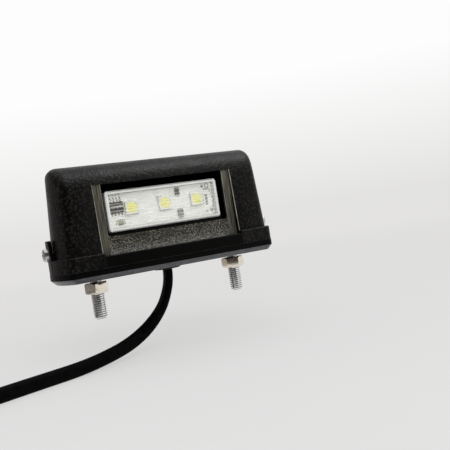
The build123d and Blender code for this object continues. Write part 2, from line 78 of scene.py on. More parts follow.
# Where the flat lead starts to turn on edge, and the length that this takes
TWIST_START = 2 * MM
TWIST_LENGTH = 48 * MM

cover_low, cover_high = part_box("cover")
base_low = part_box("base")[0]
lens_low, lens_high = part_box("lens")
board_low, board_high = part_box("circuit_board")
chip_low, chip_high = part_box("driver_chip")
nut_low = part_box("left_nut")[0]
grommet_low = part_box("grommet")[0]
coil_low, coil_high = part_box("lead_coil")
lead_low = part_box("lead")[0]

# Depths behind the cover's front: the two shoulders beside the window and the panel below it
shoulder_front = cover_low.y + 4.1 * MM
panel_front = shoulder_front + 0.3 * MM
same_depth = 0.05 * MM

# The edges round the window lie between these
window_foot = base_low.z + 6.2 * MM
window_top = cover_high.z - 8.6 * MM
window_front = cover_low.y + 1.8 * MM
window_half = 27.5 * MM


def size(label, about, default):
    """A length that a user may set, in metres."""
    return bpy.props.FloatProperty(
        name=label,
        description=about,
        default=default,
        min=0.0,
        precision=5,
        unit="LENGTH",
        subtype="DISTANCE",
    )


def colour(label, about, default):
    """A linear colour that a user may set."""
    return bpy.props.FloatVectorProperty(
        name=label, description=about, default=default, size=3, min=0.0, max=1.0, subtype="COLOR"
    )


def place(label, about, default):
    """A point that a user may set, in metres."""
    return bpy.props.FloatVectorProperty(
        name=label, description=about, default=default, size=3, unit="LENGTH", subtype="TRANSLATION"
    )


def turn(label, about, degrees):
    """An angle that a user may set."""
    return bpy.props.FloatProperty(
        name=label, description=about, default=math.radians(degrees), unit="ROTATION", subtype="ANGLE"
    )


def fraction(label, about, default):
    """A share from none to all that a user may set."""
    return bpy.props.FloatProperty(
        name=label, description=about, default=default, min=0.0, max=1.0, subtype="FACTOR"
    )


def power(label, about, default):
    """The power of a light that a user may set."""
    return bpy.props.FloatProperty(name=label, description=about, default=default, min=0.0, unit="POWER")


def group(label, about, kind):
    """A group of settings."""
    return bpy.props.PointerProperty(name=label, description=about, type=kind)


class PlateLampMoulding(bpy.types.PropertyGroup):
    """The moulded cover and base."""

    edge_width: size("Edge width", "Width of the rounded edges of the mouldings", 0.22 * MM)
    window_edge: size("Window edge", "Width of the rounded edges round the window", 0.28 * MM)
    grain_cell: size("Grain", "Size of one pebble of the cover's grain", 1.0 * MM)
    panel_cell: size("Panel grain", "Size of one pebble of the panel's grain", 0.6 * MM)
    cover_dark: colour("Cover", "Grained plastic of the cover", (0.0006, 0.0005, 0.0004))
    cover_pale: colour("Cover, rubbed", "Tops of the cover's grain", (0.0200, 0.0174, 0.0136))
    cover_edge: colour("Cover, edges", "Rubbed edges of the cover", (0.060, 0.056, 0.046))
    # The shoulders are the cover's black plastic: their lighter colour and pale streaks are a painted
    # sheen
    shoulder_sheen_dark: colour("Shoulder", "Smooth strips beside the window", (0.010, 0.009, 0.006))
    shoulder_sheen_pale: colour("Shoulder, streaks", "Pale streaks in the strips", (0.094, 0.088, 0.062))
    # This edge colour is a painted highlight along the window's rounded edges, on the shoulders and the
    # panel
    shoulder_edge_highlight: colour("Shoulder, edges", "Edges round the window", (0.32, 0.31, 0.26))
    panel_dark: colour("Panel", "Coarse plastic under the window", (0.003, 0.0025, 0.001))
    panel_pale: colour("Panel, rubbed", "Tops of the panel's grain", (0.225, 0.208, 0.142))
    base_dark: colour("Base", "Deep black plastic of the base", (0.0008, 0.0007, 0.0005))
    base_pale: colour("Base, dusty", "Dust in the base's matt surface", (0.0026, 0.0026, 0.0022))
    # The rim colours are drawn lighter and bluish than the base's black plastic, a painted reflection of
    # the pale floor
    rim_dark: colour("Rim", "Slanted lower edge of the base", (0.016, 0.017, 0.020))
    rim_pale: colour("Rim, rubbed", "Rubbed spots of the lower edge", (0.050, 0.053, 0.062))


class PlateLampLight(bpy.types.PropertyGroup):
    """The lens, the board and what is soldered to it."""

    lens_edge: size("Lens edge", "Width of the lens's rounded front edge", 0.45 * MM)
    lens_strip: size("Lens strip", "Width of the white strip inside the lens's edge", 0.8 * MM)
    ridge_width: size("Ridge", "Width of the ridges between the lens's flutes", 0.13 * MM)
    mark_thickness: size("Marks", "Thickness of the print on the board", 0.03 * MM)
    solder_thickness: size("Solder", "Thickness of the solder pads", 0.08 * MM)
    fill_rise: size("Fill rise", "Height of the domed fill of the lamps", 0.09 * MM)
    part_edge: size("Part edge", "Width of the rounded edges of the soldered parts", 0.12 * MM)
    cap_share: fraction("Caps", "Where the small parts' metal caps start, from middle to end", 0.84)
    lens_tint: colour("Lens", "Clear plastic of the lens", (0.97, 0.98, 0.97))
    rim_tint: colour("Lens rim", "Cloudy rim of the lens", (0.93, 0.94, 0.91))
    board_pale: colour("Board", "White lacquer of the board", (0.91, 0.91, 0.87))
    board_dark: colour("Board, shade", "Thin spots in the lacquer", (0.82, 0.82, 0.77))
    mark_dark: colour("Print", "Dark print on the board", (0.030, 0.028, 0.024))
    mark_pale: colour("Print, thin", "Thin spots in the print", (0.070, 0.066, 0.056))
    solder_pale: colour("Solder", "Bright solder and legs", (0.82, 0.80, 0.74))
    solder_dark: colour("Solder, dull", "Dull spots of the solder", (0.46, 0.44, 0.39))
    chip_dark: colour("Chip", "Dark body of the driver chip", (0.012, 0.011, 0.009))
    chip_pale: colour("Chip, dusty", "Dust on the chip", (0.034, 0.032, 0.027))
    leg_pale: colour("Chip legs", "Tinned legs of the chip", (0.34, 0.30, 0.24))
    leg_dark: colour("Chip legs, dull", "Dull spots of the legs", (0.12, 0.10, 0.08))
    # The chip's pale line is a painted highlight, the glint of the lens's flutes across the dark chip
    chip_painted_glint: colour("Chip, line", "Pale line across the chip", (0.24, 0.22, 0.18))
    chip_painted_glint_width: size("Chip line width", "Width of the line across the chip", 0.45 * MM)
    chip_painted_glint_rise: size("Chip line height", "Height of the line above the chip's middle", 0.25 * MM)
    grey_dark: colour("Grey part", "Body of the grey part", (0.150, 0.150, 0.140))
    grey_pale: colour("Grey part, pale", "Pale spots of the grey part", (0.330, 0.330, 0.310))
    tan_dark: colour("Tan part", "Body of the small ceramic part", (0.260, 0.215, 0.155))
    tan_pale: colour("Tan part, pale", "Pale spots of the ceramic part", (0.480, 0.420, 0.330))
    package_pale: colour("Package", "White package of a lamp", (0.86, 0.86, 0.80))
    package_dark: colour("Package, shade", "Shade in the white package", (0.70, 0.70, 0.62))
    fill_pale: colour("Fill", "Yellow fill of the lamps", (0.90, 0.88, 0.42))
    fill_dark: colour("Fill, deep", "Deep middle of the yellow fill", (0.84, 0.78, 0.22))


class PlateLampMetal(bpy.types.PropertyGroup):
    """The studs, nuts and screws."""

    stud_spacing: size("Stud spacing", "Distance between the two studs", 57.0 * MM)
    stud_radius: size("Stud radius", "Radius over the stud's thread", 2.5 * MM)
    neck_radius: size("Neck radius", "Radius of the stud inside its nut", 2.24 * MM)
    tip_radius: size("Tip radius", "Radius of the stud's flat tip", 1.7 * MM)
    stud_tip: size("Stud reach", "Reach of the stud below the mounting face", 15.0 * MM)
    stud_seat: size("Stud seat", "Height of the seat under the stud's head", 2.8 * MM)
    head_flats: size("Head", "Width of the stud's head across its flats", 8.0 * MM)
    head_height: size("Head height", "Height of the stud's head", 3.5 * MM)
    thread_pitch: size("Thread pitch", "Rise of the stud's thread in one turn", 0.8 * MM)
    thread_depth: size("Thread depth", "Height of the stud's thread", 0.36 * MM)
    edge_width: size("Edge width", "Width of the rounded edges of the metal", 0.14 * MM)
    zinc_pale: colour("Zinc", "Plated studs", (0.93, 0.95, 0.96))
    zinc_dark: colour("Zinc, dull", "Dull spots of the studs", (0.84, 0.86, 0.87))
    # The groove colours are painted shade: the thread's flanks and roots are drawn darker than its
    # crests
    groove_shade_pale: colour("Groove", "Flanks of the thread", (0.60, 0.60, 0.60))
    groove_shade_dark: colour("Groove, deep", "Oil and dirt in the thread", (0.34, 0.31, 0.28))
    nut_pale: colour("Nut", "Yellowish plated nuts", (0.90, 0.88, 0.78))
    nut_dark: colour("Nut, warm", "Warm tint in the nuts' plating", (0.86, 0.76, 0.62))
    screw_pale: colour("Screw", "Bright cover screws", (0.82, 0.82, 0.80))
    screw_dark: colour("Screw, dull", "Dull spots of the screws", (0.56, 0.56, 0.54))


class PlateLampLead(bpy.types.PropertyGroup):
    """The flat twin lead and its coil."""

    length: size("Length", "Length of the lead from the base to its bare end", 0.5)
    free_length: size("Free length", "Length of the lead before its coil", 91.7 * MM)
    width: size("Width", "Wide side of the flat lead", 5.0 * MM)
    thickness: size("Thickness", "Narrow side of the flat lead", 3.2 * MM)
    coil_radius: size("Coil radius", "Radius of the coil's outer turn", 29.5 * MM)
    turn_pitch: size("Turn pitch", "Spacing of the coil's turns", 3.4 * MM)
    lead_in: size("Lead-in", "Straight stretch before the coil", 18.0 * MM)
    strip: size("Strip", "Bare length at the end of each core", 6.0 * MM)
    core_sink: size("Core", "How far inside the sheath each core starts", 2.0 * MM)
    strand_share: fraction("Strands", "Width of the bare strands as a share of the core's", 0.62)
    strap_thickness: size("Strap thickness", "Thickness of the tie's strap", 0.6 * MM)
    strap_gap: size("Strap gap", "Room between the tie and the turns that it holds", 0.15 * MM)
    rubber_edge: size("Rubber edge", "Width of the grommet's rounded edges", 0.45 * MM)
    sheath_dark: colour("Sheath", "Black sheath of the lead", (0.0006, 0.0006, 0.0006))
    sheath_pale: colour("Sheath, dusty", "Dust on the sheath", (0.0026, 0.0026, 0.0025))
    rubber_dark: colour("Rubber", "Black rubber of the grommet", (0.0025, 0.0024, 0.0022))
    rubber_pale: colour("Rubber, dusty", "Dust on the rubber", (0.012, 0.012, 0.011))
    nylon_dark: colour("Tie", "Black nylon of the tie", (0.008, 0.008, 0.008))
    nylon_pale: colour("Tie, rubbed", "Rubbed spots of the tie", (0.030, 0.030, 0.030))
    brown_dark: colour("Brown core", "Brown insulation", (0.090, 0.036, 0.014))
    brown_pale: colour("Brown core, pale", "Pale spots of the insulation", (0.150, 0.066, 0.028))
    white_dark: colour("White core", "White insulation", (0.62, 0.62, 0.58))
    white_pale: colour("White core, pale", "Pale spots of the insulation", (0.76, 0.76, 0.72))
    copper_pale: colour("Copper", "Bare strands", (0.82, 0.46, 0.28))
    copper_dark: colour("Copper, dull", "Dull spots of the strands", (0.52, 0.26, 0.15))


class PlateLampStage(bpy.types.PropertyGroup):
    """The floor, the light and the camera."""

    floor_radius: size("Floor", "Radius of the pale surface", 6.0)
    fade_start: size("Fade start", "Distance at which the floor starts to meet the backdrop", 0.06)
    fade_end: size("Fade end", "Distance at which floor and backdrop are one", 0.7)
    fade_near: fraction("Fade near", "Share of the backdrop in the floor under the lamp", 0.6)
    floor_colour: colour("Floor colour", "Pale surface under the lamp", (0.80, 0.795, 0.805))
    backdrop_low: colour("Backdrop", "Backdrop at the height of the lamp", (0.77, 0.765, 0.755))
    backdrop_high: colour("Backdrop, high", "Backdrop above the lamp", (0.985, 0.985, 0.985))
    fill_colour: colour("Fill light", "Even light from all sides", (0.74, 0.74, 0.74))
    card_dark: colour("Card", "Dark card in front, mirrored in black plastic", (0.045, 0.034, 0.028))
    card_pale: colour("Card, behind", "Dark card at the left and behind", (0.42, 0.38, 0.385))
    card_gap: size("Card gap", "Distance at which the dark card starts", 0.14)
    card_radius: size("Card distance", "Distance of the dark card from the lamp", 0.7)
    card_height: size("Card height", "Height of the dark card", 0.8)
    card_start: turn("Card start", "Where the dark card starts, from the front to the right", 19.0)
    card_sweep: turn("Card sweep", "How far the dark card goes round the lamp", 181.0)
    key_place: place("Key light", "Where the soft key light stands", (0.02, -0.60, 0.42))
    key_size: size("Key size", "Width of the soft key light", 0.6)
    key_power: power("Key power", "Power of the soft key light", 1.9)
    gleam_place: place("Gleam", "Where the light for the crown's gleam stands", (0.29, -0.11, 0.76))
    gleam_size: size("Gleam size", "Width of the light for the crown's gleam", 0.36)
    gleam_power: power("Gleam power", "Power of the light for the crown's gleam", 2.8)
    camera_place: place("Camera", "Where the camera stands", (-0.07707, -0.22257, 0.01542))
    camera_aim: place("Aim", "Point in the middle of the view", (0.02167, -0.01266, 0.01216))
    camera_roll: turn("Roll", "Turn of the camera about its own axis", 8.83)
    view_angle: turn("View angle", "Angle across the picture", 41.28)


class PlateLampSettings(bpy.types.PropertyGroup):
    """All that a user may change."""

    moulding: group("Mouldings", "The cover and the base", PlateLampMoulding)
    light: group("Light unit", "The lens and the board", PlateLampLight)
    metal: group("Metal", "The studs, nuts and screws", PlateLampMetal)
    lead: group("Lead", "The flat lead and its coil", PlateLampLead)
    stage: group("Stage", "The floor, the light and the camera", PlateLampStage)


def mesh_object(name, bm, materials):
    """Turn a bmesh into an object of the scene."""
    mesh = bpy.data.meshes.new(name)
    bm.to_mesh(mesh)
    bm.free()
    for material in materials:
        mesh.materials.append(material)
    holder = bpy.data.objects.new(name, mesh)
    bpy.context.scene.collection.objects.link(holder)
    return holder


def finish_piece(name, bm, materials, replaced=()):
    """Turn a bmesh into a shown piece that rides on the lamp."""
    bmesh.ops.dissolve_degenerate(bm, dist=SAME_PLACE, edges=bm.edges)
    piece = mesh_object(name, bm, materials)
    piece.data.shade_smooth()
    piece.data.set_sharp_from_angle(angle=SHARP_ANGLE)
    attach(piece, BODY)
    if replaced:
        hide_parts(*replaced)
    return piece


def tones(settings, name):
    """The dark and the pale colour of one material."""
    return getattr(settings, f"{name}_dark"), getattr(settings, f"{name}_pale")


def dress_node(node, material):
    """Give a solid that stays as it is a finished material."""
    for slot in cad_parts[node].material_slots:
        slot.material = material


def merged_copy(node):
    """A bmesh of a solid with its loose triangles merged and its flat faces made whole."""
    bm = bmesh.new()
    bm.from_mesh(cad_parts[node].data)
    bm.faces.layers.float.new(WEAR_AND_HIGHLIGHT)
    bmesh.ops.remove_doubles(bm, verts=bm.verts, dist=SAME_PLACE)
    bmesh.ops.dissolve_limit(bm, angle_limit=FLAT_ANGLE, verts=bm.verts, edges=bm.edges)
    for face in bm.faces:
        face.material_index = 0
    return bm


def round_edges(bm, edges, width, segments=2):
    """Round some edges of a bmesh and mark the new faces for the edge colour, which is wear on most
    pieces and a painted highlight round the window.
    """
    rounded = bmesh.ops.bevel(
        bm,
        geom=edges,
        offset=width,
        offset_type="OFFSET",
        affect="EDGES",
        segments=segments,
        profile=0.5,
        clamp_overlap=True,
        material=-1,
    )
    wear_and_highlight = bm.faces.layers.float.get(WEAR_AND_HIGHLIGHT)
    if wear_and_highlight:
        for face in rounded["faces"]:
            face[wear_and_highlight] = 1.0
    return rounded["faces"]


def sharp_edges(bm, angle):
    """The outer edges of a bmesh that turn by more than an angle."""
    return [
        edge
        for edge in bm.edges
        if edge.is_manifold and edge.is_convex and edge.calc_face_angle() > math.radians(angle)
    ]


def soften_edges(bm, width, angle=ROUNDED_ANGLE, segments=2):
    """Round every outer edge of a bmesh that turns by more than an angle."""
    return round_edges(bm, sharp_edges(bm, angle), width, segments)


def soften_solid(node, name, material, width, angle=ROUNDED_ANGLE, segments=2):
    """A piece of one material that is a solid with rounded edges."""
    bm = merged_copy(node)
    soften_edges(bm, width, angle, segments)
    return finish_piece(name, bm, [material], [node])


def spin_line(bm, points, middle, axis, angle, steps, closed=False, **more):
    """Spin a line of points about an axis."""
    verts = [bm.verts.new(point) for point in points]
    pairs = list(zip([verts[-1], *verts], verts))
    edges = [bm.edges.new(pair) for pair in (pairs if closed else pairs[1:])]
    bmesh.ops.spin(bm, geom=[*verts, *edges], cent=middle, axis=axis, angle=angle, steps=steps, **more)


def cut_through(bm, point, normal, **more):
    """Cut a whole bmesh along a plane."""
    parts = [*bm.verts, *bm.edges, *bm.faces]
    return bmesh.ops.bisect_plane(bm, geom=parts, plane_co=point, plane_no=normal, **more)


def weld(bm):
    """Join the points that share one place and turn all faces outwards."""
    bmesh.ops.remove_doubles(bm, verts=bm.verts, dist=SAME_PLACE)
    bmesh.ops.recalc_face_normals(bm, faces=bm.faces)


def of_kind(parts, kind):
    """The parts of a bmesh that are all of one kind."""
    return [part for part in parts if isinstance(part, kind)]


def new_material(name):
    """A node material, its tree and its Principled shader."""
    material = bpy.data.materials.new(name)
    material.use_nodes = True
    tree = material.node_tree
    return material, tree, tree.nodes["Principled BSDF"]


def feed(tree, node, inputs):
    """Link or set some inputs of a node."""
    for name, value in inputs.items():
        if isinstance(value, bpy.types.NodeSocket):
            tree.links.new(value, node.inputs[name])
        else:
            node.inputs[name].default_value = value


def add_node(tree, kind, inputs, **options):
    """A new node with its options set and its inputs fed."""
    node = tree.nodes.new(f"ShaderNode{kind}")
    for name, value in options.items():
        setattr(node, name, value)
    feed(tree, node, inputs)
    return node


def object_points(tree, stretch=(1.0, 1.0, 1.0), rotation=(0.0, 0.0, 0.0)):
    """Points of the surface in metres, turned and stretched by a Mapping node."""
    points = add_node(tree, "TexCoord", {}).outputs["Object"]
    inputs = {"Vector": points, "Scale": stretch, "Rotation": rotation}
    return add_node(tree, "Mapping", inputs).outputs["Vector"]


def noise(tree, points, cell, detail=3.0):
    """Cloudy noise whose patches are about one cell across."""
    inputs = {"Vector": points, "Scale": 1.0 / cell, "Detail": detail, "Roughness": 0.55}
    return add_node(tree, "TexNoise", inputs).outputs["Fac"]


def pebbles(tree, points, cell):
    """Rounded pebbles of one cell's size, as moulded into a plastic grain."""
    inputs = {"Vector": points, "Scale": 1.0 / cell, "Smoothness": 0.6}
    return add_node(tree, "TexVoronoi", inputs, feature="SMOOTH_F1").outputs["Distance"]


def bands(tree, points, width):
    """Even bands across the x axis of the points, each of one width."""
    inputs = {"Vector": points, "Scale": math.pi / (10.0 * width)}
    node = add_node(tree, "TexWave", inputs, wave_type="BANDS", bands_direction="X")
    return node.outputs["Fac"]


def spread(tree, value, low, high, start=NOISE_RANGE[0], stop=NOISE_RANGE[1]):
    """A value moved from one range, which is a noise's if none is given, to another."""
    inputs = {"Value": value, "From Min": start, "From Max": stop, "To Min": low, "To Max": high}
    return add_node(tree, "MapRange", inputs).outputs["Result"]


def joined(tree, operation, first, second):
    """Two values joined by a sum, a product or the like."""
    return add_node(tree, "Math", {0: first, 1: second}, operation=operation).outputs["Value"]


def tinted(tree, share, first, second):
    """A colour that goes from a first one to a second one."""
    inputs = {"Factor": share}
    for socket, tint in ((6, first), (7, second)):
        inputs[socket] = tint if isinstance(tint, bpy.types.NodeSocket) else (*tint, 1.0)
    return add_node(tree, "Mix", inputs, data_type="RGBA").outputs[2]


def edge_wear_and_highlight(tree, points, patch):
    """Wear along the rounded edges, broken into patches; round the window this is a painted highlight.
    """
    worn_and_highlit = add_node(tree, "Attribute", {}, attribute_name=WEAR_AND_HIGHLIGHT).outputs["Fac"]
    patches = spread(tree, noise(tree, points, patch), 0.35, 1.0, 0.35, 0.65)
    return joined(tree, "MULTIPLY", worn_and_highlit, patches)


def relief(tree, height, depth):
    """Bumps from a height whose whole range is a depth in metres."""
    inputs = {"Height": height, "Strength": 1.0, "Distance": depth}
    return add_node(tree, "Bump", inputs).outputs["Normal"]


def grained_plastic(name, dark, pale, edge, cell, depth, gloss, specular):
    """Moulded plastic with a pebbled grain, rubbed tops and coloured edges: wear on the cover, a painted
    highlight round the window, a painted floor reflection on the base.
    """
    material, tree, shader = new_material(name)
    points = object_points(tree)
    domes = spread(tree, pebbles(tree, points, cell), 0.75, 0.0, 0.0, 0.8)
    fine = spread(tree, noise(tree, points, 0.45 * cell, detail=2.0), 0.0, 0.35, 0.0, 1.0)
    height = joined(tree, "ADD", domes, fine)
    patches = noise(tree, points, 9.0 * cell)
    rubbed = spread(tree, patches, 0.3, 1.0)
    tops = joined(tree, "MULTIPLY", spread(tree, height, 0.0, 1.0, 0.42, 0.82), rubbed)
    tint = tinted(tree, tops, dark, pale)
    inputs = {
        "Base Color": tinted(tree, edge_wear_and_highlight(tree, points, 2.5 * MM), tint, edge),
        "Roughness": spread(tree, patches, *gloss),
        "Specular IOR Level": specular,
        "Normal": relief(tree, height, depth),
    }
    feed(tree, shader, inputs)
    return material


def streaked_plastic(name, dark, pale, edge):
    """Smooth moulded strips, drawn lighter than black with pale upright streaks as a painted sheen, and
    with pale edges that are a painted highlight.
    """
    material, tree, shader = new_material(name)
    streaks = noise(tree, object_points(tree, (1.0, 1.0, 0.05)), 0.45 * MM, detail=2.0)
    tint = tinted(tree, spread(tree, streaks, 0.0, 1.0, 0.35, 0.65), dark, pale)
    inputs = {
        "Base Color": tinted(tree, edge_wear_and_highlight(tree, object_points(tree), 4.0 * MM), tint, edge),
        "Roughness": spread(tree, streaks, 0.32, 0.5),
        "Specular IOR Level": 0.4,
        "Normal": relief(tree, streaks, 0.03 * MM),
    }
    feed(tree, shader, inputs)
    return material


def patchy(name, first, second, patch, fine, gloss, depth, fixed, limits=NOISE_RANGE, detail=3.0):
    """A surface with patches of two colours and a fine unevenness in its gloss and height."""
    material, tree, shader = new_material(name)
    points = object_points(tree)
    patches = noise(tree, points, patch, detail)
    uneven = noise(tree, points, fine, detail=2.0)
    inputs = {
        "Base Color": tinted(tree, spread(tree, patches, 0.0, 1.0, *limits), first, second),
        "Roughness": spread(tree, uneven, *gloss),
        "Normal": relief(tree, uneven, depth),
    }
    feed(tree, shader, {**inputs, **fixed})
    return material


def smooth_plastic(name, dark, pale, gloss, specular=0.5, patch=1.5 * MM, depth=0.01 * MM):
    """Smooth plastic with a slight unevenness in colour, gloss and surface."""
    fixed = {"Specular IOR Level": specular}
    return patchy(name, dark, pale, patch, 0.2 * patch, gloss, depth, fixed)


def plated_metal(name, dark, pale, gloss, cell=4.0 * MM):
    """Plated metal with tinted patches and fine marks."""
    fixed = {"Metallic": 1.0}
    return patchy(name, pale, dark, cell, 0.3 * MM, gloss, 0.001 * MM, fixed, (0.25, 0.75), detail=1.0)


def lacquer(name, dark, pale):
    """White lacquer with faint thin spots and a slight orange peel."""
    gloss = (0.28, 0.42)
    return patchy(name, pale, dark, 5.0 * MM, 0.5 * MM, gloss, 0.004 * MM, {}, (0.35, 0.75))


def clear_plastic(name, tint):
    """Clear moulded plastic, a little uneven."""
    material, tree, shader = new_material(name)
    waves = noise(tree, object_points(tree, (0.25, 1.0, 1.0)), 2.5 * MM, detail=2.0)
    inputs = {
        "Base Color": (*tint, 1.0),
        "Transmission Weight": 1.0,
        "IOR": 1.49,
        "Roughness": spread(tree, waves, 0.0, 0.05),
        "Normal": relief(tree, waves, 0.004 * MM),
    }
    feed(tree, shader, inputs)
    return material


def cloudy_plastic(name, tint, clearness):
    """Moulded edges of the clear plastic, which look white; on the flutes' ridges this white is a
    painted highlight.
    """
    material, tree, shader = new_material(name)
    clouds = noise(tree, object_points(tree, (0.05, 1.0, 1.0)), 0.8 * MM)
    inputs = {
        "Base Color": (*tint, 1.0),
        "Transmission Weight": spread(tree, clouds, *clearness),
        "IOR": 1.49,
        "Roughness": spread(tree, clouds, 0.18, 0.36),
        "Normal": relief(tree, clouds, 0.01 * MM),
    }
    feed(tree, shader, inputs)
    return material


def banded_surface(name, dark, pale, width, gloss, depth, rotation=(0.0, 0.0, 0.0), metallic=0.0):
    """Nylon or strands with even bands across one axis."""
    material, tree, shader = new_material(name)
    points = object_points(tree, rotation=rotation)
    lines = bands(tree, points, width)
    patches = noise(tree, points, 3.0 * width)
    share = joined(tree, "MULTIPLY", lines, spread(tree, patches, 0.3, 1.0))
    inputs = {
        "Base Color": tinted(tree, share, dark, pale),
        "Roughness": spread(tree, patches, *gloss),
        "Metallic": metallic,
        "Normal": relief(tree, lines, depth),
    }
    feed(tree, shader, inputs)
    return material


def coil_centre(settings, last, before):
    """The middle of the coil and the way from the lead's last run towards it."""
    heading = (last - before).normalized()
    inward = Vector((heading.y, -heading.x, 0.0))
    centre = last + heading * settings.lead_in + inward * settings.coil_radius
    return centre, inward


def free_points(settings):
    """The lead's control points out of the base, down to the floor and along it."""
    on_floor = lead_low.z + settings.width / 2
    # Millimetres
    falling = [
        (0.0, 0.0, -5.2),
        (-2.9, -1.0, -12.2),
        (-6.7, -2.3, -17.1),
        (-12.9, -4.5, -21.8),
        (-19.9, -7.0, -25.0),
        (-27.2, -9.5, -26.9),
    ]
    lying = [(-39.9, -14.0), (-56.5, -19.6), (-74.0, -26.1)]
    points = [Vector((0.0, 0.0, grommet_low.z))]
    points += [Vector((x * MM, y * MM, z * MM)) for x, y, z in falling]
    return points + [Vector((x * MM, y * MM, on_floor)) for x, y in lying]


def coil_points(settings, centre, inward):
    """The lead's control points round the coil, from its outer turn inwards."""
    level = (coil_low.z + coil_high.z) / 2
    reach = settings.coil_radius
    pitch = settings.turn_pitch
    wound = settings.length - settings.free_length - settings.lead_in
    turns = (reach - math.sqrt(reach**2 - pitch * wound / math.pi)) / pitch
    steps_per_turn = 16
    points = []
    for step in range(round(turns * steps_per_turn) + 1):
        share = step / steps_per_turn
        arm = Quaternion(UP, -FULL_TURN * share) @ -inward * (reach - pitch * share)
        points.append(Vector((centre.x + arm.x, centre.y + arm.y, level)))
    return points


def spline_points(name, control):
    """Points along a smooth spline with some control points."""
    curve = bpy.data.curves.new(name, "CURVE")
    curve.dimensions = "3D"
    curve.resolution_u = 8
    spline = curve.splines.new("NURBS")
    spline.points.add(len(control) - 1)
    for point, where in zip(spline.points, control):
        point.co = (*where, 1.0)
    spline.order_u = 3
    spline.use_endpoint_u = True
    holder = bpy.data.objects.new(name, curve)
    mesh = bpy.data.meshes.new_from_object(holder)
    line = [vertex.co.copy() for vertex in mesh.vertices]
    bpy.data.objects.remove(holder)
    bpy.data.curves.remove(curve)
    bpy.data.meshes.remove(mesh)
    return line


def lead_frames(line):
    """A frame at each point of the lead, flat to the front at the base and on edge on the floor."""
    frames = []
    travel = 0.0
    for index, point in enumerate(line):
        before = line[max(index - 1, 0)]
        after = line[min(index + 1, len(line) - 1)]
        tangent = (after - before).normalized()
        travel += (point - before).length
        share = min(max((travel - TWIST_START) / TWIST_LENGTH, 0.0), 1.0)
        angle = share * share * (3 - 2 * share) * math.pi / 2
        wide = Vector((0, math.cos(angle), math.sin(angle)))
        wide = (wide - tangent * wide.dot(tangent)).normalized()
        thin = wide.cross(tangent)
        rows = [(thin[axis], wide[axis], tangent[axis], point[axis]) for axis in range(3)]
        frames.append(Matrix((*rows, (0, 0, 0, 1))))
    return frames


def swept_sheath(settings, frames):
    """The flat sheath, grown from frame to frame."""
    bm = bmesh.new()
    radius = settings.thickness / 2
    ring = bmesh.ops.create_circle(bm, cap_ends=True, segments=20, radius=radius)["verts"]
    for vertex in ring:
        vertex.co.y += math.copysign(settings.width / 2 - radius, vertex.co.y)
    bmesh.ops.transform(bm, matrix=frames[0], verts=ring)
    edges = list(bm.edges)
    for before, after in zip(frames, frames[1:]):
        grown = bmesh.ops.extrude_edge_only(bm, edges=edges)["geom"]
        ring = of_kind(grown, bmesh.types.BMVert)
        edges = of_kind(grown, bmesh.types.BMEdge)
        edges = [edge for edge in edges if all(vert in ring for vert in edge.verts)]
        bmesh.ops.transform(bm, matrix=after @ before.inverted(), verts=ring)
    bmesh.ops.contextual_create(bm, geom=edges)
    bmesh.ops.recalc_face_normals(bm, faces=bm.faces)
    return bm


def draw_tight(settings, bm, line, centre):
    """Draw the tie's two walls in until they lie on the turns that it holds."""
    beside = 0.99
    middle = sum((vertex.co.xy for vertex in bm.verts), Vector((0.0, 0.0))) / len(bm.verts)
    arm = (middle - centre.xy).normalized()
    spots = [point.xy - centre.xy for point in line]
    held = [spot.length for spot in spots if spot.dot(arm) > beside * spot.length]
    spare = settings.thickness / 2 + settings.strap_gap + settings.strap_thickness
    reaches = [(vertex.co.xy - centre.xy).dot(arm) for vertex in bm.verts]
    inner, outer = min(reaches), max(reaches)
    wall = 1.5 * settings.strap_thickness
    for vertex, reach in zip(bm.verts, reaches):
        shift = 0.0
        if reach > outer - wall:
            shift = max(held) + spare - outer
        elif reach < inner + wall:
            shift = min(held) - spare - inner
        vertex.co.x += arm.x * shift
        vertex.co.y += arm.y * shift


def add_core(settings, side, centre, sheath_end, insulation, copper):
    """One insulated core out of the sheath's end, and the strands at its tip."""
    node = f"{side}_core"
    low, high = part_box(node)
    level = (low.z + high.z) / 2
    middle = Vector((centre.x, centre.y, level))
    start = Vector((low.x + high.x, low.y + high.y, 2 * level)) / 2 - middle
    solid = merged_copy(node)
    end = max(start.xy.angle_signed((vertex.co - middle).xy) for vertex in solid.verts)
    solid.free()
    out = (sheath_end - centre).xy
    begin = start.xy.angle_signed(out) - settings.core_sink / out.length
    cut = end - settings.strip / out.length
    radius = (high.z - low.z) / 2
    arms = [Quaternion(UP, -angle) @ start.normalized() * out.length for angle in (begin, cut)]
    jacket = curved_rod(middle, arms[0], radius, cut - begin, edge=0.1 * MM)
    tip = curved_rod(middle, arms[1], settings.strand_share * radius, end - cut, edge=0.2 * MM)
    return [
        finish_piece(f"{side}_insulation", jacket, [insulation], [node]),
        finish_piece(f"{side}_strands", tip, [copper]),
    ]


def curved_rod(middle, arm, radius, sweep, edge):
    """A closed rod that lies on an arc about the coil's middle, with rounded ends."""
    bm = bmesh.new()
    columns = (arm.normalized(), UP, Vector((arm.y, -arm.x, 0.0)).normalized())
    spot = Matrix(columns).transposed().to_4x4()
    spot.translation = middle + arm
    bmesh.ops.create_circle(bm, cap_ends=False, segments=20, radius=radius, matrix=spot)
    ring = [*bm.verts, *bm.edges]
    bmesh.ops.spin(bm, geom=ring, cent=middle, axis=UP, angle=-sweep, steps=20)
    bmesh.ops.holes_fill(bm, edges=[rim for rim in bm.edges if rim.is_boundary])
    bmesh.ops.recalc_face_normals(bm, faces=bm.faces)
    soften_edges(bm, edge, angle=50.0, segments=3)
    return bm


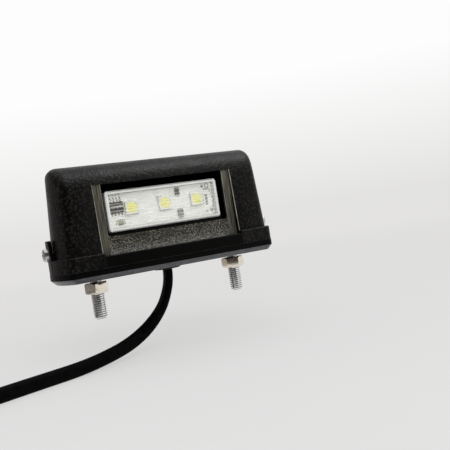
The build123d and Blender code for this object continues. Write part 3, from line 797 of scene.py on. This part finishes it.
class PLATELAMP_OT_lead(bpy.types.Operator):
    """Lay the flat lead from the base to its coil, with its tie and its bare cores"""

    bl_idname = "platelamp.lead"
    bl_label = "Lead"

    def execute(self, context):
        settings = context.scene.plate_lamp.lead
        free = free_points(settings)
        centre, inward = coil_centre(settings, free[-1], free[-2])
        line = spline_points("lead_route", free + coil_points(settings, centre, inward))
        sheath = smooth_plastic(
            "lead_sheath", *tones(settings, "sheath"), gloss=(0.5, 0.65), specular=0.03, patch=2.0 * MM
        )
        bm = swept_sheath(settings, lead_frames(line))
        lead = finish_piece("flat_lead", bm, [sheath], ["lead", "lead_coil"])

        bm = merged_copy("coil_tie")
        draw_tight(settings, bm, line, centre)
        soften_edges(bm, width=0.1 * MM)
        nylon = banded_surface(
            "tie_nylon", *tones(settings, "nylon"), width=0.5 * MM, gloss=(0.3, 0.45), depth=0.04 * MM
        )
        tie = finish_piece("tie_strap", bm, [nylon], ["coil_tie"])

        copper = banded_surface(
            "bare_strands",
            *tones(settings, "copper"),
            width=0.3 * MM,
            gloss=(0.25, 0.4),
            depth=0.05 * MM,
            rotation=(0.0, 0.0, math.radians(35)),
            metallic=1.0,
        )
        pieces = [tie]
        for side, hue in (("supply", "brown"), ("return", "white")):
            insulation = smooth_plastic(
                f"{hue}_insulation", *tones(settings, hue), gloss=(0.3, 0.42), patch=2.0 * MM
            )
            pieces += add_core(settings, side, centre, line[-1], insulation, copper)
        return {"FINISHED"}


def front_faces(bm, depth):
    """The faces of a bmesh that lie flat to the front at some depth."""
    faces = [face for face in bm.faces if face.normal.y < FRONT_NORMAL]
    return [face for face in faces if abs(face.calc_center_median().y - depth) < same_depth]


def near_window(edge):
    """Whether an edge of the cover lies round the window."""
    middle = (edge.verts[0].co + edge.verts[1].co) / 2
    level = window_foot < middle.z < window_top
    depth = window_front < middle.y < shoulder_front + 2 * same_depth
    return level and depth and abs(middle.x) < window_half


class PLATELAMP_OT_mouldings(bpy.types.Operator):
    """Make the grained cover and the base"""

    bl_idname = "platelamp.mouldings"
    bl_label = "Cover and base"

    def execute(self, context):
        settings = context.scene.plate_lamp.moulding
        grain = grained_plastic(
            "cover_grain",
            *tones(settings, "cover"),
            settings.cover_edge,
            cell=settings.grain_cell,
            depth=0.12 * MM,
            gloss=(0.36, 0.5),
            specular=0.16,
        )
        # The pale edge colour round the window, shared by the shoulders and the panel, is a painted
        # highlight
        edge = settings.shoulder_edge_highlight
        shoulder_sheen = streaked_plastic("window_shoulder_sheen", *tones(settings, "shoulder_sheen"), edge)
        panel = grained_plastic(
            "window_panel",
            *tones(settings, "panel"),
            edge,
            cell=settings.panel_cell,
            depth=0.12 * MM,
            gloss=(0.35, 0.5),
            specular=0.5,
        )
        bm = merged_copy("cover")
        for index, depth in ((1, shoulder_front), (2, panel_front)):
            for face in front_faces(bm, depth):
                face.material_index = index
        # The window's edges are rounded and marked so that they take the painted highlight
        window = [edge for edge in sharp_edges(bm, ROUNDED_ANGLE) if near_window(edge)]
        for face in round_edges(bm, window, settings.window_edge):
            face.material_index = 1
        soften_edges(bm, settings.edge_width, angle=40.0)
        finish_piece("cover_moulding", bm, [grain, shoulder_sheen, panel], ["cover"])

        # The base's rounded edges take the rim's pale colour, so they carry the same painted floor
        # reflection
        matt = grained_plastic(
            "base_plastic",
            *tones(settings, "base"),
            settings.rim_pale,
            cell=0.4 * MM,
            depth=0.02 * MM,
            gloss=(0.34, 0.46),
            specular=0.07,
        )
        rim = smooth_plastic(
            "base_rim_floor_reflection",
            *tones(settings, "rim"),
            gloss=(0.26, 0.4),
            specular=0.8,
            patch=2.0 * MM,
            depth=0.02 * MM,
        )
        bm = merged_copy("base")
        # The slanted lower faces take the rim material, whose lighter bluish colour is a painted floor
        # reflection
        rim_top = 2.0 * MM
        for face in bm.faces:
            slanted = -0.9 < face.normal.z < -0.4
            if slanted and face.calc_center_median().z < rim_top:
                face.material_index = 1
        soften_edges(bm, settings.edge_width)
        finish_piece("base_moulding", bm, [matt, rim], ["base"])
        return {"FINISHED"}


def cut_corners(bm, flat, margin):
    """Cut the flat front so that its middle is one clean rectangle between the rounded corners."""
    sides = [ACROSS, -ACROSS, UP, -UP]
    reaches = [max(vert.co.dot(side) for face in flat for vert in face.verts) for side in sides]
    patch = dict.fromkeys(flat)
    for side, reach in zip(sides, reaches):
        edges = dict.fromkeys(edge for face in patch for edge in face.edges)
        verts = dict.fromkeys(vert for face in patch for vert in face.verts)
        spot = side * (reach - margin)
        parts = [*verts, *edges, *patch]
        cut = bmesh.ops.bisect_plane(bm, geom=parts, plane_co=spot, plane_no=side)
        patch.update(dict.fromkeys(of_kind(cut["geom"], bmesh.types.BMFace)))


class PLATELAMP_OT_lens(bpy.types.Operator):
    """Make the clear fluted lens with its white rim"""

    bl_idname = "platelamp.lens"
    bl_label = "Lens"

    def execute(self, context):
        settings = context.scene.plate_lamp.light
        bm = merged_copy("lens")
        wall = 1.05 * MM
        for face in bm.faces:
            middle = face.calc_center_median()
            inside = lens_low.z + wall < middle.z < lens_high.z - wall
            outside = abs(middle.x) > lens_high.x - wall or not inside
            face.material_index = int(outside and abs(face.normal.y) < 0.5)
        corners = [
            edge
            for edge in bm.edges
            if edge.is_manifold
            and edge.calc_face_angle() > math.radians(60)
            and all(abs(vert.co.y - lens_low.y) < same_depth for vert in edge.verts)
        ]
        for face in round_edges(bm, corners, settings.lens_edge, segments=3):
            face.material_index = 1
        flat = front_faces(bm, lens_low.y)
        strip = bmesh.ops.inset_region(
            bm, faces=flat, thickness=settings.lens_strip, use_even_offset=True
        )
        for face in strip["faces"]:
            face.material_index = 1
        inner = dict.fromkeys(vert for face in flat for vert in face.verts)
        bmesh.ops.remove_doubles(bm, verts=list(inner), dist=settings.lens_strip / 10)
        flat = [face for face in front_faces(bm, lens_low.y) if face.material_index == 0]
        cut_corners(bm, flat, settings.lens_strip)
        shortest_ridge = 30 * MM
        least_turn, most_turn = 0.25, 0.6
        ridges = [
            edge
            for edge in bm.edges
            if edge.is_manifold
            and edge.calc_length() > shortest_ridge
            and least_turn < edge.calc_face_angle() < most_turn
        ]
        for face in round_edges(bm, ridges, settings.ridge_width, segments=1):
            face.material_index = 2
        clear = clear_plastic("lens_clear", settings.lens_tint)
        rim = cloudy_plastic("lens_rim", settings.rim_tint, clearness=(0.1, 0.3))
        # The ridges' cloudy white is a painted highlight, the bright lines of the flutes over the board
        ridge_glint = cloudy_plastic("lens_ridge_glint", settings.rim_tint, clearness=(0.5, 0.75))
        lens = finish_piece("lens_window", bm, [clear, rim, ridge_glint], ["lens"])
        lens.visible_shadow = False
        return {"FINISHED"}


def board_spot(x, z, depth):
    """A point that is some millimetres across and up from the board's middle."""
    return Vector((x * MM, depth, (board_low.z + board_high.z) / 2 + z * MM))


def add_plates(bm, plates, thickness):
    """Thin plates on the board, each with its place, width and height in millimetres."""
    for x, z, width, height in plates:
        middle = board_spot(x, z, board_low.y - thickness / 2)
        shape = Vector((width * MM, thickness, height * MM))
        bmesh.ops.create_cube(bm, size=1.0, matrix=Matrix.LocRotScale(middle, None, shape))


def add_ring(bm, x, z, radius, width, thickness):
    """A thin printed ring on the board."""
    back, front = board_low.y, board_low.y - thickness
    middle = board_spot(x, z, 0.0)
    outer = radius + width
    corners = [(radius, back), (radius, front), (outer, front), (outer, back)]
    points = [(middle.x + across * MM, depth, middle.z) for across, depth in corners]
    spin_line(bm, points, middle, (0, 1, 0), FULL_TURN, steps=28, closed=True, use_merge=True)


def add_print(settings):
    """Dashes in columns, ticks round the parts and a ring, none of which is a letter; the two ticks at
    the middle lamp are a painted shadow of its package.
    """
    # Place across and width, then place up and height of each dash
    columns = [
        (16.7, 1.10, [(2.0, 0.60), (0.95, 0.60), (-0.3, 0.80), (-1.6, 0.60)]),
        (17.3, 1.00, [(5.2, 0.90)]),
        (18.5, 1.00, [(1.4, 0.70), (0.2, 0.90), (-1.1, 0.70), (-2.1, 0.50)]),
        (18.9, 2.60, [(4.0, 0.40)]),
        (20.3, 0.40, [(3.1, 0.80)]),
        (20.85, 0.25, [(2.2, 0.70), (0.6, 0.90), (-1.2, 0.70), (-2.9, 0.80)]),
        # A painted shadow: these two ticks over and left of the middle lamp stand for the shade at its
        # package's edges
        (-0.9, 2.60, [(3.45, 0.22)]),
        (-2.2, 0.22, [(2.9, 0.90)]),
        (-14.6, 0.22, [(-0.3, 0.90)]),
        (-18.9, 0.25, [(-4.3, 1.70)]),
        (-15.6, 0.25, [(-4.3, 1.70)]),
        (-17.25, 2.40, [(-3.4, 0.18), (-5.2, 0.18)]),
    ]
    for width, row in ((0.50, (4.9, 0.70)), (0.35, (5.9, 0.40))):
        columns += [(x, width, [row]) for x in (-20.1, -18.8, -17.6, -16.3)]
    bars = [(x, z, width, height) for x, width, rows in columns for z, height in rows]
    bm = bmesh.new()
    add_plates(bm, bars, settings.mark_thickness)
    add_ring(bm, x=19.3, z=5.2, radius=0.55, width=0.32, thickness=settings.mark_thickness)
    weld(bm)
    ink = smooth_plastic("board_print", *tones(settings, "mark"), gloss=(0.45, 0.6), patch=0.5 * MM)
    finish_piece("board_print", bm, [ink], ())


def add_chip(settings):
    """The chip with its tinned legs and a pale line across it, a painted highlight where the lens's
    flutes glint over the chip.
    """
    bm = merged_copy("driver_chip")
    middle = (chip_low.z + chip_high.z) / 2
    body_half = 1.97 * MM
    for face in bm.faces:
        face.material_index = int(abs(face.calc_center_median().z - middle) > body_half)
    glint_level = middle + settings.chip_painted_glint_rise
    for side in (-1, 1):
        cut_through(bm, (0.0, 0.0, glint_level + side * settings.chip_painted_glint_width / 2), UP)
    # Front faces in the cut band take the painted highlight
    for face in bm.faces:
        away = abs(face.calc_center_median().z - glint_level)
        if face.normal.y < -0.9 and away < 0.3 * settings.chip_painted_glint_width:
            face.material_index = 2
    soften_edges(bm, 0.6 * settings.part_edge)
    epoxy = smooth_plastic("chip_epoxy", *tones(settings, "chip"), gloss=(0.4, 0.55), patch=0.7 * MM)
    legs = plated_metal("chip_legs", *tones(settings, "leg"), gloss=(0.3, 0.45), cell=0.6 * MM)
    line = smooth_plastic("chip_painted_glint", settings.chip_painted_glint, settings.package_dark, gloss=(0.4, 0.55))
    finish_piece("chip_body", bm, [epoxy, legs, line], ["driver_chip"])


def add_soldered_part(settings, node, materials):
    """A small part with a metal cap at each end."""
    low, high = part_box(node)
    axis = UP if high.z - low.z > high.x - low.x else ACROSS
    middle = (low + high) / 2
    reach = abs((high - middle).dot(axis))
    bm = merged_copy(node)
    for end in (-1, 1):
        cut_through(bm, middle + axis * end * settings.cap_share * reach, axis)
    for face in bm.faces:
        away = abs((face.calc_center_median() - middle).dot(axis))
        face.material_index = int(away > (settings.cap_share + 0.01) * reach)
    soften_edges(bm, settings.part_edge)
    finish_piece(f"{node}_part", bm, materials, [node])


def add_fill(settings, side, material):
    """The domed yellow fill in one lamp's round well."""
    node = f"{side}_led_phosphor"
    low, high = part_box(node)
    middle = (low + high) / 2
    radius = (high.x - low.x) / 2
    # Shares of the radius and of the rise
    dome = [(0.0, 1.0), (0.35, 0.9), (0.65, 0.6), (0.88, 0.22), (1.0, 0.0)]
    profile = [(across * radius, low.y - rise * settings.fill_rise) for across, rise in dome]
    profile += [(radius, high.y), (0.0, high.y)]
    bm = bmesh.new()
    points = [(middle.x + across, depth, middle.z) for across, depth in profile]
    centre = (middle.x, 0.0, middle.z)
    spin_line(bm, points, centre, (0, 1, 0), FULL_TURN, steps=40, use_merge=True)
    weld(bm)
    finish_piece(f"{side}_fill", bm, [material], [node])


class PLATELAMP_OT_board(bpy.types.Operator):
    """Dress the board, its print and what is soldered to it"""

    bl_idname = "platelamp.board"
    bl_label = "Board"

    def execute(self, context):
        settings = context.scene.plate_lamp.light
        dress_node("circuit_board", lacquer("board_lacquer", *tones(settings, "board")))
        solder = plated_metal("solder", *tones(settings, "solder"), gloss=(0.2, 0.4), cell=0.6 * MM)
        add_print(settings)
        pads = [
            (6.5, 6.0, 1.5, 0.35),
            (6.5, 2.75, 1.5, 0.35),
            (6.7, -2.2, 1.8, 0.25),
            (6.7, -5.6, 1.8, 0.25),
            (20.0, -4.4, 1.5, 1.3),
            (18.2, -4.6, 1.1, 1.0),
        ]
        bm = bmesh.new()
        add_plates(bm, pads, settings.solder_thickness)
        soften_edges(bm, width=0.03 * MM)
        finish_piece("solder_pads", bm, [solder], ())

        add_chip(settings)
        bodies = {
            "resistor": ("dark_component", "mark"),
            "diode": ("grey_component", "grey"),
            "capacitor": ("tan_component", "tan"),
        }
        for node, (slot, hue) in bodies.items():
            body = smooth_plastic(
                f"{node}_body", *tones(settings, hue), gloss=(0.4, 0.55), patch=0.8 * MM
            )
            add_soldered_part(settings, node, [body, solder])
        white = smooth_plastic(
            "lamp_package", *tones(settings, "package"), gloss=(0.25, 0.38), patch=1.0 * MM
        )
        yellow = smooth_plastic(
            "lamp_fill", *tones(settings, "fill"), gloss=(0.2, 0.32), patch=1.2 * MM
        )
        edge = settings.part_edge
        for side in ("left", "middle", "right"):
            soften_solid(f"{side}_led", f"{side}_package", white, edge)
            add_fill(settings, side, yellow)
        return {"FINISHED"}


def threaded_stud(settings, across):
    """A stud whose thread is spun from one turn's profile, with its head inside the base."""
    bm = bmesh.new()
    spin_thread(settings, bm, across)
    top = settings.stud_seat + 0.2 * MM
    for level, outward in ((-settings.stud_tip, -UP), (top, UP)):
        cut = cut_through(bm, (across, 0.0, level), outward, clear_outer=True)
        bmesh.ops.contextual_create(bm, geom=of_kind(cut["geom_cut"], bmesh.types.BMEdge))
    for vertex in bm.verts:
        arm = Vector((vertex.co.x - across, vertex.co.y))
        limit = settings.tip_radius + vertex.co.z + settings.stud_tip
        if vertex.co.z > nut_low.z:
            arm *= settings.neck_radius / settings.stud_radius
        elif arm.length > limit:
            arm *= limit / arm.length
        vertex.co.x = across + arm.x
        vertex.co.y = arm.y
    corner = settings.head_flats / 2 / math.cos(math.pi / 6)
    seat = Vector((across, 0.0, settings.stud_seat))
    spot = Matrix.LocRotScale(seat, Quaternion(UP, math.pi / 2), None)
    ring = bmesh.ops.create_circle(bm, cap_ends=True, segments=6, radius=corner, matrix=spot)
    foot = ring["verts"][0].link_faces[:]
    grown = bmesh.ops.extrude_face_region(bm, geom=foot, use_keep_orig=True)["geom"]
    lifted = of_kind(grown, bmesh.types.BMVert)
    bmesh.ops.translate(bm, vec=UP * settings.head_height, verts=lifted)
    bmesh.ops.recalc_face_normals(bm, faces=bm.faces)
    return bm


def spin_thread(settings, bm, across):
    """The thread, from below the stud's tip to above its seat, with its flanks and roots marked for
    painted shade.
    """
    pitch = settings.thread_pitch
    crest = settings.stud_radius
    root = crest - settings.thread_depth
    foot = -settings.stud_tip - 1.5 * pitch
    turns = math.ceil((settings.stud_seat - foot) / pitch) + 2
    steps = 28
    # Radius, and rise as a share of the pitch
    profile = [(root, 0.0), (root, 0.08), (crest, 0.24), (crest, 0.84), (root, 1.0)]
    points = [(across + radius, 0.0, foot + rise * pitch) for radius, rise in profile]
    middle = Vector((across, 0.0, 0.0))
    climb = UP * (pitch / steps)
    spin_line(bm, points, middle, UP, FULL_TURN * turns, steps * turns, dvec=climb)
    bmesh.ops.remove_doubles(bm, verts=bm.verts, dist=5 * SAME_PLACE)
    # Flanks and roots take the second material, the painted shade of the groove
    for face in bm.faces:
        reach = [(vertex.co - middle).xy.length for vertex in face.verts]
        face.material_index = int(min(reach) < crest - 0.1 * settings.thread_depth)


class PLATELAMP_OT_fasteners(bpy.types.Operator):
    """Cut the studs' threads and make the nuts and cover screws"""

    bl_idname = "platelamp.fasteners"
    bl_label = "Studs, nuts and screws"

    def execute(self, context):
        settings = context.scene.plate_lamp.metal
        zinc = plated_metal("stud_plating", *tones(settings, "zinc"), gloss=(0.12, 0.22))
        groove_shade = plated_metal("thread_painted_shade", *tones(settings, "groove_shade"), gloss=(0.2, 0.34))
        yellow = plated_metal("nut_plating", *tones(settings, "nut"), gloss=(0.14, 0.24))
        nickel = plated_metal("screw_plating", *tones(settings, "screw"), gloss=(0.2, 0.36))
        edge = settings.edge_width
        for side, sign in (("left", -1), ("right", 1)):
            bm = threaded_stud(settings, sign * settings.stud_spacing / 2)
            finish_piece(f"{side}_threaded_stud", bm, [zinc, groove_shade], [f"{side}_stud"])
            soften_solid(f"{side}_nut", f"{side}_hex_nut", yellow, edge, angle=20.0)
            soften_solid(f"{side}_cover_screw", f"{side}_pan_screw", nickel, edge)
        return {"FINISHED"}


class PLATELAMP_OT_inside(bpy.types.Operator):
    """Make the grommet and dress what lies inside the lamp"""

    bl_idname = "platelamp.inside"
    bl_label = "Grommet and inside"

    def execute(self, context):
        lead = context.scene.plate_lamp.lead
        light = context.scene.plate_lamp.light
        rubber = smooth_plastic(
            "grommet_rubber",
            *tones(lead, "rubber"),
            gloss=(0.5, 0.65),
            specular=0.35,
            patch=1.2 * MM,
            depth=0.03 * MM,
        )
        soften_solid(
            "grommet", "grommet_ring", rubber, lead.rubber_edge, angle=40.0, segments=3
        )
        tray = smooth_plastic(
            "tray_plastic", *tones(light, "package"), gloss=(0.4, 0.55), patch=4.0 * MM
        )
        dress_node("light_tray", tray)
        dress_node("lead_inlet", bpy.data.materials["lead_sheath"])
        dress_node("supply_wire", bpy.data.materials["brown_insulation"])
        dress_node("return_wire", bpy.data.materials["white_insulation"])
        return {"FINISHED"}


def add_floor(settings):
    """A pale floor that turns into the backdrop far from the lamp."""
    bm = bmesh.new()
    bmesh.ops.create_circle(bm, cap_ends=True, segments=96, radius=settings.floor_radius)
    bmesh.ops.translate(bm, vec=UP * lead_low.z, verts=bm.verts)
    material, tree, shader = new_material("floor")
    points = object_points(tree, (1.0, 1.0, 0.0))
    share = spread(tree, noise(tree, points, 0.12), 0.0, 1.0)
    shade = [0.97 * part for part in settings.floor_colour]
    inputs = {
        "Base Color": tinted(tree, share, shade, settings.floor_colour),
        "Roughness": 0.9,
        "Specular IOR Level": 0.0,
    }
    feed(tree, shader, inputs)
    distance = add_node(tree, "VectorMath", {0: points}, operation="LENGTH").outputs["Value"]
    fade = spread(tree, distance, settings.fade_near, 1.0, settings.fade_start, settings.fade_end)
    glow = add_node(tree, "Emission", {"Color": (*settings.backdrop_low, 1.0)}).outputs["Emission"]
    both = add_node(tree, "MixShader", {"Fac": fade, 1: shader.outputs["BSDF"], 2: glow})
    feed(tree, tree.nodes["Material Output"], {"Surface": both.outputs["Shader"]})
    add_stage_mesh("floor", bm, material)


def add_card(settings):
    """A dark card round the front and the left, which only mirrors show."""
    bm = bmesh.new()
    start = settings.card_start
    where = Vector((math.sin(start), -math.cos(start), 0.0)) * settings.card_radius
    near = where.normalized() * settings.card_gap
    foot = UP * (lead_low.z + 1.0 * MM)
    corners = [near + foot, where + foot, where + foot + UP * settings.card_height]
    spin_line(bm, corners, (0, 0, 0), UP, -settings.card_sweep, steps=48)
    bmesh.ops.recalc_face_normals(bm, faces=bm.faces)
    material, tree, shader = new_material("dark_card")
    points = object_points(tree, (1.0, 1.0, 0.0))
    direction = add_node(tree, "VectorMath", {0: points}, operation="NORMALIZE").outputs["Vector"]
    backward = add_node(tree, "SeparateXYZ", {"Vector": direction}).outputs["Y"]
    share = spread(tree, backward, 0.0, 1.0, -0.8, 0.9)
    tint = tinted(tree, share, *tones(settings, "card"))
    feed(tree, shader, {"Base Color": tint, "Roughness": 0.9})
    card = add_stage_mesh("dark_card", bm, material)
    card.visible_camera = False
    card.visible_diffuse = False
    card.visible_transmission = False
    card.visible_shadow = False


def add_stage_mesh(name, bm, material):
    """A mesh of the stage, which isn't part of the lamp."""
    holder = mesh_object(name, bm, [material])
    return holder


def new_world(settings):
    """Even light from all sides, and a pale backdrop for the camera, mirrors and glass."""
    world = bpy.data.worlds.new("studio")
    world.use_nodes = True
    tree = world.node_tree
    way = add_node(tree, "TexCoord", {}).outputs["Generated"]
    upward = add_node(tree, "SeparateXYZ", {"Vector": way}).outputs["Z"]
    height = spread(tree, upward, 0.0, 1.0, 0.0, 0.22)
    backdrop = tinted(tree, height, settings.backdrop_low, settings.backdrop_high)
    path = add_node(tree, "LightPath", {}).outputs
    seen = joined(tree, "MAXIMUM", path["Is Camera Ray"], path["Is Glossy Ray"])
    seen = joined(tree, "MAXIMUM", seen, path["Is Transmission Ray"])
    light = tinted(tree, seen, settings.fill_colour, backdrop)
    feed(tree, tree.nodes["Background"], {"Color": light})
    return world


def stand(name, data, where, aim, roll=0.0):
    """A light or a camera at a place, turned to the point that it aims at."""
    holder = bpy.data.objects.new(name, data)
    bpy.context.scene.collection.objects.link(holder)
    look = (Vector(aim) - Vector(where)).normalized()
    holder.location = where
    holder.rotation_mode = "QUATERNION"
    holder.rotation_quaternion = look.to_track_quat("-Z", "Y") @ Quaternion(UP, -roll)
    return holder


def add_light(name, where, width, energy):
    """A large soft light that shines at the lamp."""
    light = bpy.data.lights.new(name, "AREA")
    light.shape = "DISK"
    light.size = width
    light.energy = energy
    return stand(name, light, where, UP * (cover_high.z / 2))


def add_camera(settings):
    """The camera at the photograph's place."""
    camera = bpy.data.cameras.new("camera")
    camera.sensor_width = 36.0
    camera.angle = settings.view_angle
    camera.clip_start = 0.01
    where, aim = settings.camera_place, settings.camera_aim
    return stand("camera", camera, where, aim, settings.camera_roll)


class PLATELAMP_OT_stage(bpy.types.Operator):
    """Set the floor, the dark card, the light and the camera"""

    bl_idname = "platelamp.stage"
    bl_label = "Stage"

    def execute(self, context):
        scene = context.scene
        settings = scene.plate_lamp.stage
        add_floor(settings)
        add_card(settings)
        scene.world = new_world(settings)
        key = add_light("key", settings.key_place, settings.key_size, settings.key_power)
        key.visible_glossy = False
        gleam = add_light("gleam", settings.gleam_place, settings.gleam_size, settings.gleam_power)
        gleam.visible_diffuse = False
        scene.camera = add_camera(settings)
        scene.view_settings.view_transform = "Standard"
        return {"FINISHED"}


class PLATELAMP_PT_sidebar(bpy.types.Panel):
    """The lamp's operators and settings in the 3D view's sidebar"""

    bl_idname = "PLATELAMP_PT_sidebar"
    bl_label = "Plate Lamp"
    bl_space_type = "VIEW_3D"
    bl_region_type = "UI"
    bl_category = "Plate Lamp"

    def draw(self, context):
        settings = context.scene.plate_lamp
        for name, operators in panel_rows:
            box = self.layout.box()
            for operator in operators:
                box.operator(operator.bl_idname)
            values = getattr(settings, name)
            for value in values.__annotations__:
                box.prop(values, value)


panel_rows = (
    ("lead", (PLATELAMP_OT_lead, PLATELAMP_OT_inside)),
    ("moulding", (PLATELAMP_OT_mouldings,)),
    ("light", (PLATELAMP_OT_lens, PLATELAMP_OT_board)),
    ("metal", (PLATELAMP_OT_fasteners,)),
    ("stage", (PLATELAMP_OT_stage,)),
)

classes = (
    PlateLampMoulding,
    PlateLampLight,
    PlateLampMetal,
    PlateLampLead,
    PlateLampStage,
    PlateLampSettings,
    PLATELAMP_OT_lead,
    PLATELAMP_OT_mouldings,
    PLATELAMP_OT_lens,
    PLATELAMP_OT_board,
    PLATELAMP_OT_fasteners,
    PLATELAMP_OT_inside,
    PLATELAMP_OT_stage,
    PLATELAMP_PT_sidebar,
)


def register():
    """Add the lamp's settings, operators and panel."""
    for item in classes:
        bpy.utils.register_class(item)
    bpy.types.Scene.plate_lamp = group("Plate lamp", "The lamp's settings", PlateLampSettings)


def unregister():
    """Take the lamp's settings, operators and panel away."""
    del bpy.types.Scene.plate_lamp
    for item in reversed(classes):
        bpy.utils.unregister_class(item)


def main():
    """Build the pieces in order."""
    register()
    bpy.ops.platelamp.lead()
    bpy.ops.platelamp.mouldings()
    bpy.ops.platelamp.lens()
    bpy.ops.platelamp.board()
    bpy.ops.platelamp.fasteners()
    bpy.ops.platelamp.inside()
    bpy.ops.platelamp.stage()


if __name__ == "__main__":
    main()
